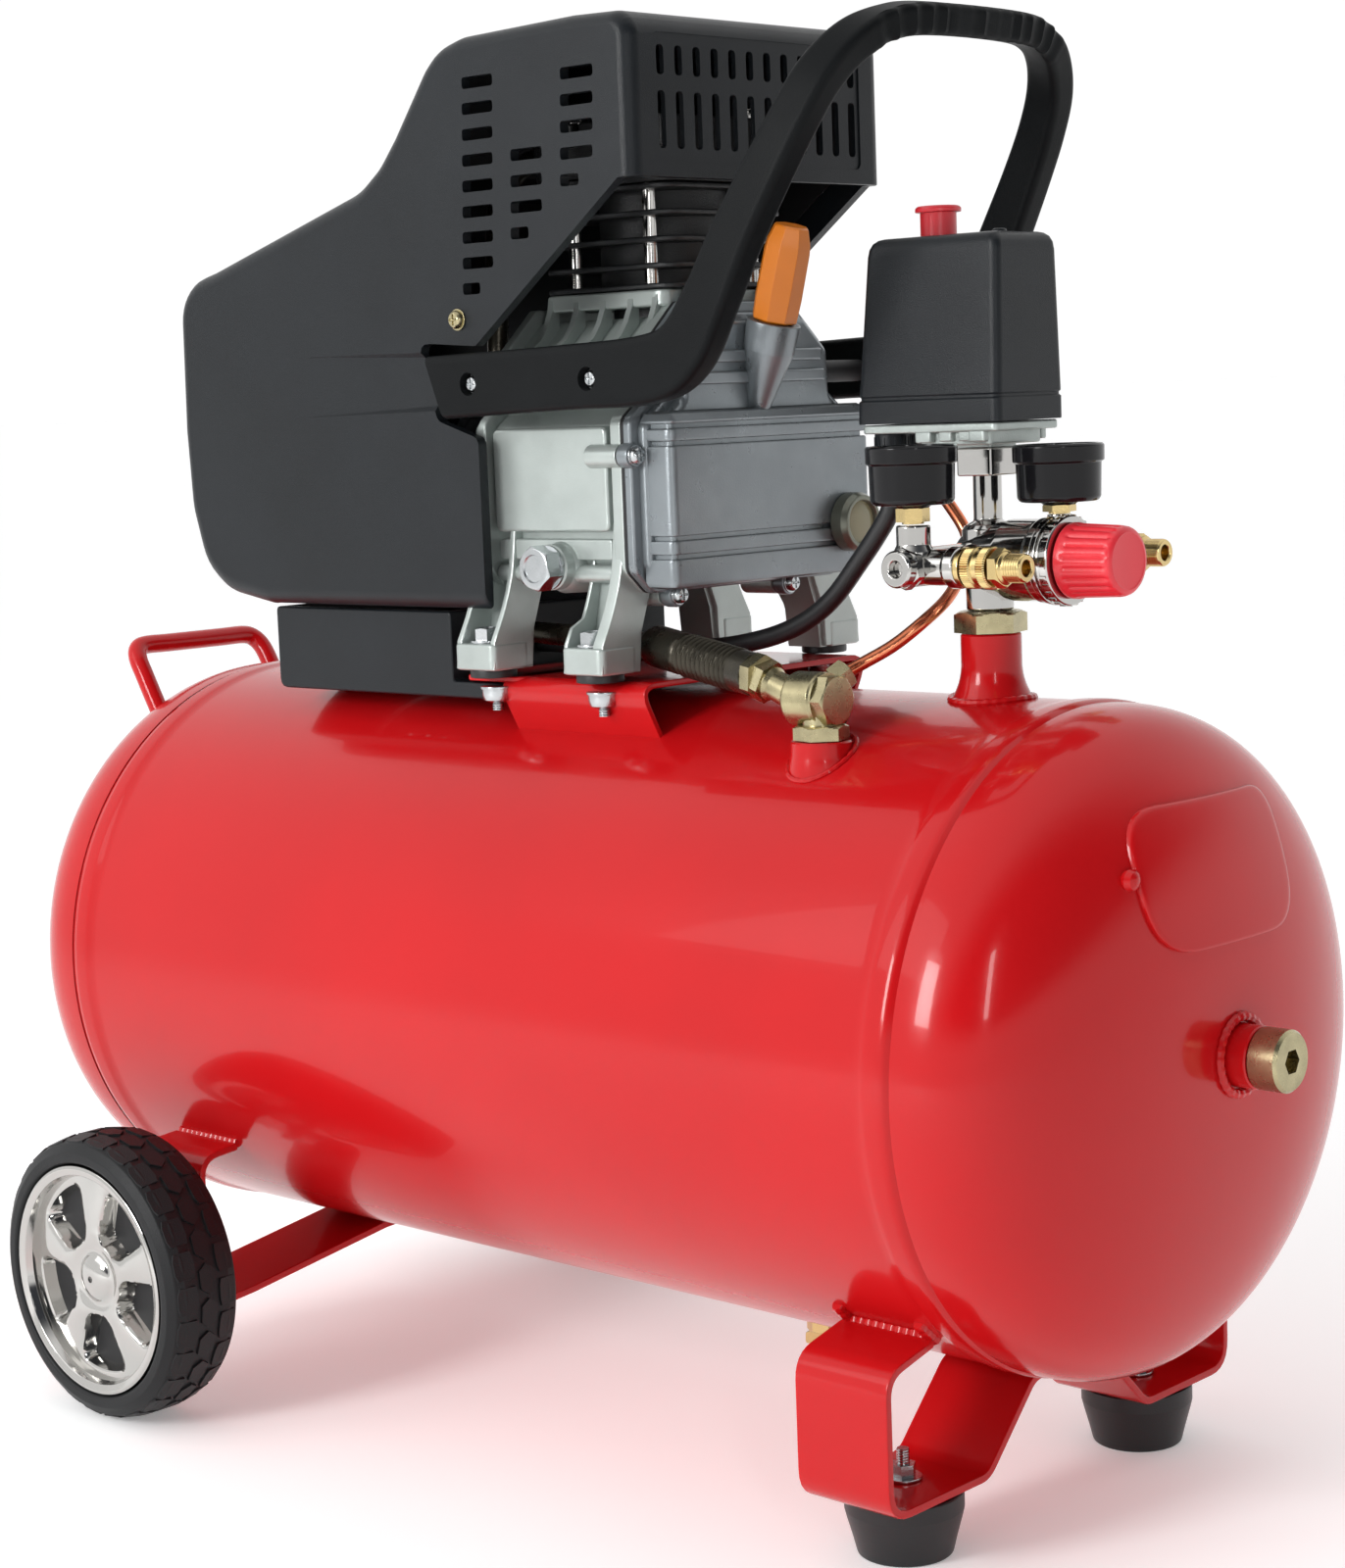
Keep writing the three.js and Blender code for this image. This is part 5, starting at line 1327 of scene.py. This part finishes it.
def make_button():
    button = lathe(solid((8.2, 343), (8.2, 371), (10.4, 371.2), (10.4, 373), (9.2, 374)),
        [0, 0.5, 0.4, 0.4, 1.2, 1.5, 0], 56, at=BUTTON, steps=4)
    piece("switch_button_cap", button, "red_plastic", ["switch_button"], "button")


# ---- stage ----
DARK_SIDE = (0.88, -0.30, -0.37)      # the studio is darker on this side, behind the camera
DARK_FROM, DARK_FULL = 0.07, 0.26     # height over the horizon, which stays white all round
DARK_WIDER, DARK_AT = 0.12, 0.58      # how far round the dark reaches, and where it is full
DARKEST, STUDIO_GLOW, FLOOR_GLOW = (0.055, 0.06, 0.07, 1), 1.03, 0.23


def make_floor():
    floor = bpy.data.meshes.new("floor")
    far = 300.0
    floor.from_pydata([(-far, -far, 0), (far, -far, 0), (far, far, 0), (-far, far, 0)], [], [(0, 1, 2, 3)])
    made = linked("floor", floor)
    paper = material("floor", (0.93, 0.93, 0.93), 0.8, specular=0.1, grain=(60, 0.01), mottle=(2, 0.01))
    shader = paper.node_tree.nodes["Principled BSDF"]
    shader.inputs["Emission Color"].default_value = (1, 1, 1, 1)
    shader.inputs["Emission Strength"].default_value = FLOOR_GLOW
    floor.materials.append(paper)


def make_world():
    world = bpy.data.worlds.new("studio")
    scene.world = world
    world.use_nodes = True
    nodes, links = world.node_tree.nodes, world.node_tree.links
    where = nodes.new("ShaderNodeTexCoord")
    facing_way = nodes.new("ShaderNodeVectorMath")
    facing_way.operation = "DOT_PRODUCT"
    facing_way.inputs[1].default_value = DARK_SIDE
    links.new(where.outputs["Generated"], facing_way.inputs[0])
    split = nodes.new("ShaderNodeSeparateXYZ")
    links.new(where.outputs["Generated"], split.inputs["Vector"])
    above = nodes.new("ShaderNodeMapRange")
    above.inputs["From Min"].default_value = DARK_FROM
    above.inputs["From Max"].default_value = DARK_FULL
    links.new(split.outputs["Z"], above.inputs["Value"])
    raised = nodes.new("ShaderNodeMath")
    raised.operation = "ADD"
    raised.inputs[1].default_value = DARK_WIDER
    links.new(facing_way.outputs["Value"], raised.inputs[0])
    shade = nodes.new("ShaderNodeMath")
    shade.operation = "MULTIPLY"
    links.new(raised.outputs["Value"], shade.inputs[0])
    links.new(above.outputs["Result"], shade.inputs[1])
    ramp = nodes.new("ShaderNodeValToRGB")
    ramp.color_ramp.interpolation = "EASE"
    ramp.color_ramp.elements[0].position, ramp.color_ramp.elements[1].position = 0.0, DARK_AT
    ramp.color_ramp.elements[0].color = (1.0, 1.0, 1.0, 1)
    ramp.color_ramp.elements[1].color = DARKEST
    links.new(shade.outputs["Value"], ramp.inputs["Fac"])
    back = nodes["Background"]
    links.new(ramp.outputs["Color"], back.inputs["Color"])
    back.inputs["Strength"].default_value = STUDIO_GLOW


def light(name, at, aim, power, size):
    data = bpy.data.lights.new(name, "AREA")
    data.energy = power
    data.shape, data.size, data.size_y = "RECTANGLE", size[0], size[1]
    made = linked(name, data)
    made.location = at
    made.rotation_euler = (Vector(aim) - Vector(at)).to_track_quat("-Z", "Y").to_euler()


for make in (make_tank, make_end_plug, make_drain_cock, make_plate, make_riser, make_inlet_weld,
        make_running_gear, make_straps, make_strap_welds, make_tow_handle, make_motor_plate, make_crankcase,
        make_pad_bolts, make_drain_bolt, make_handle_spacers, make_cover, make_filler_cap, make_sight_glass,
        make_cylinder, make_head, make_head_studs, make_shroud, make_shroud_shade_sheet, make_shroud_screws,
        make_lower_housing, make_handle, make_discharge_line, make_check_valve, make_unloader_line,
        make_riser_nut, make_intake_filter, make_motor_cable, make_manifold, make_bonnet, make_knob,
        make_gauges, make_outlets, make_safety_valve, make_switch_base, make_glands, make_hood, make_button,
        make_floor, make_world):
    make()
light("key", (-1.6, -2.9, 2.4), (0, 0, 0.3), 12, (2.0, 1.5))
light("window_1", (-0.31, -1.92, 0.96), (0.2, 0, 0.25), 20, (0.50, 0.70))
light("window_2", (1.75, -1.33, 0.97), (0.3, 0, 0.25), 4, (0.14, 0.7))
scene.view_settings.view_transform = "Standard"

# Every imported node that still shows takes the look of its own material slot.
for part in frame["record"]["subparts"]:
    node = frame["nodes"][part["node"]]
    node.data.materials.clear()
    node.data.materials.append(LOOKS[part["material_slot"]])

bpy.context.view_layer.update()
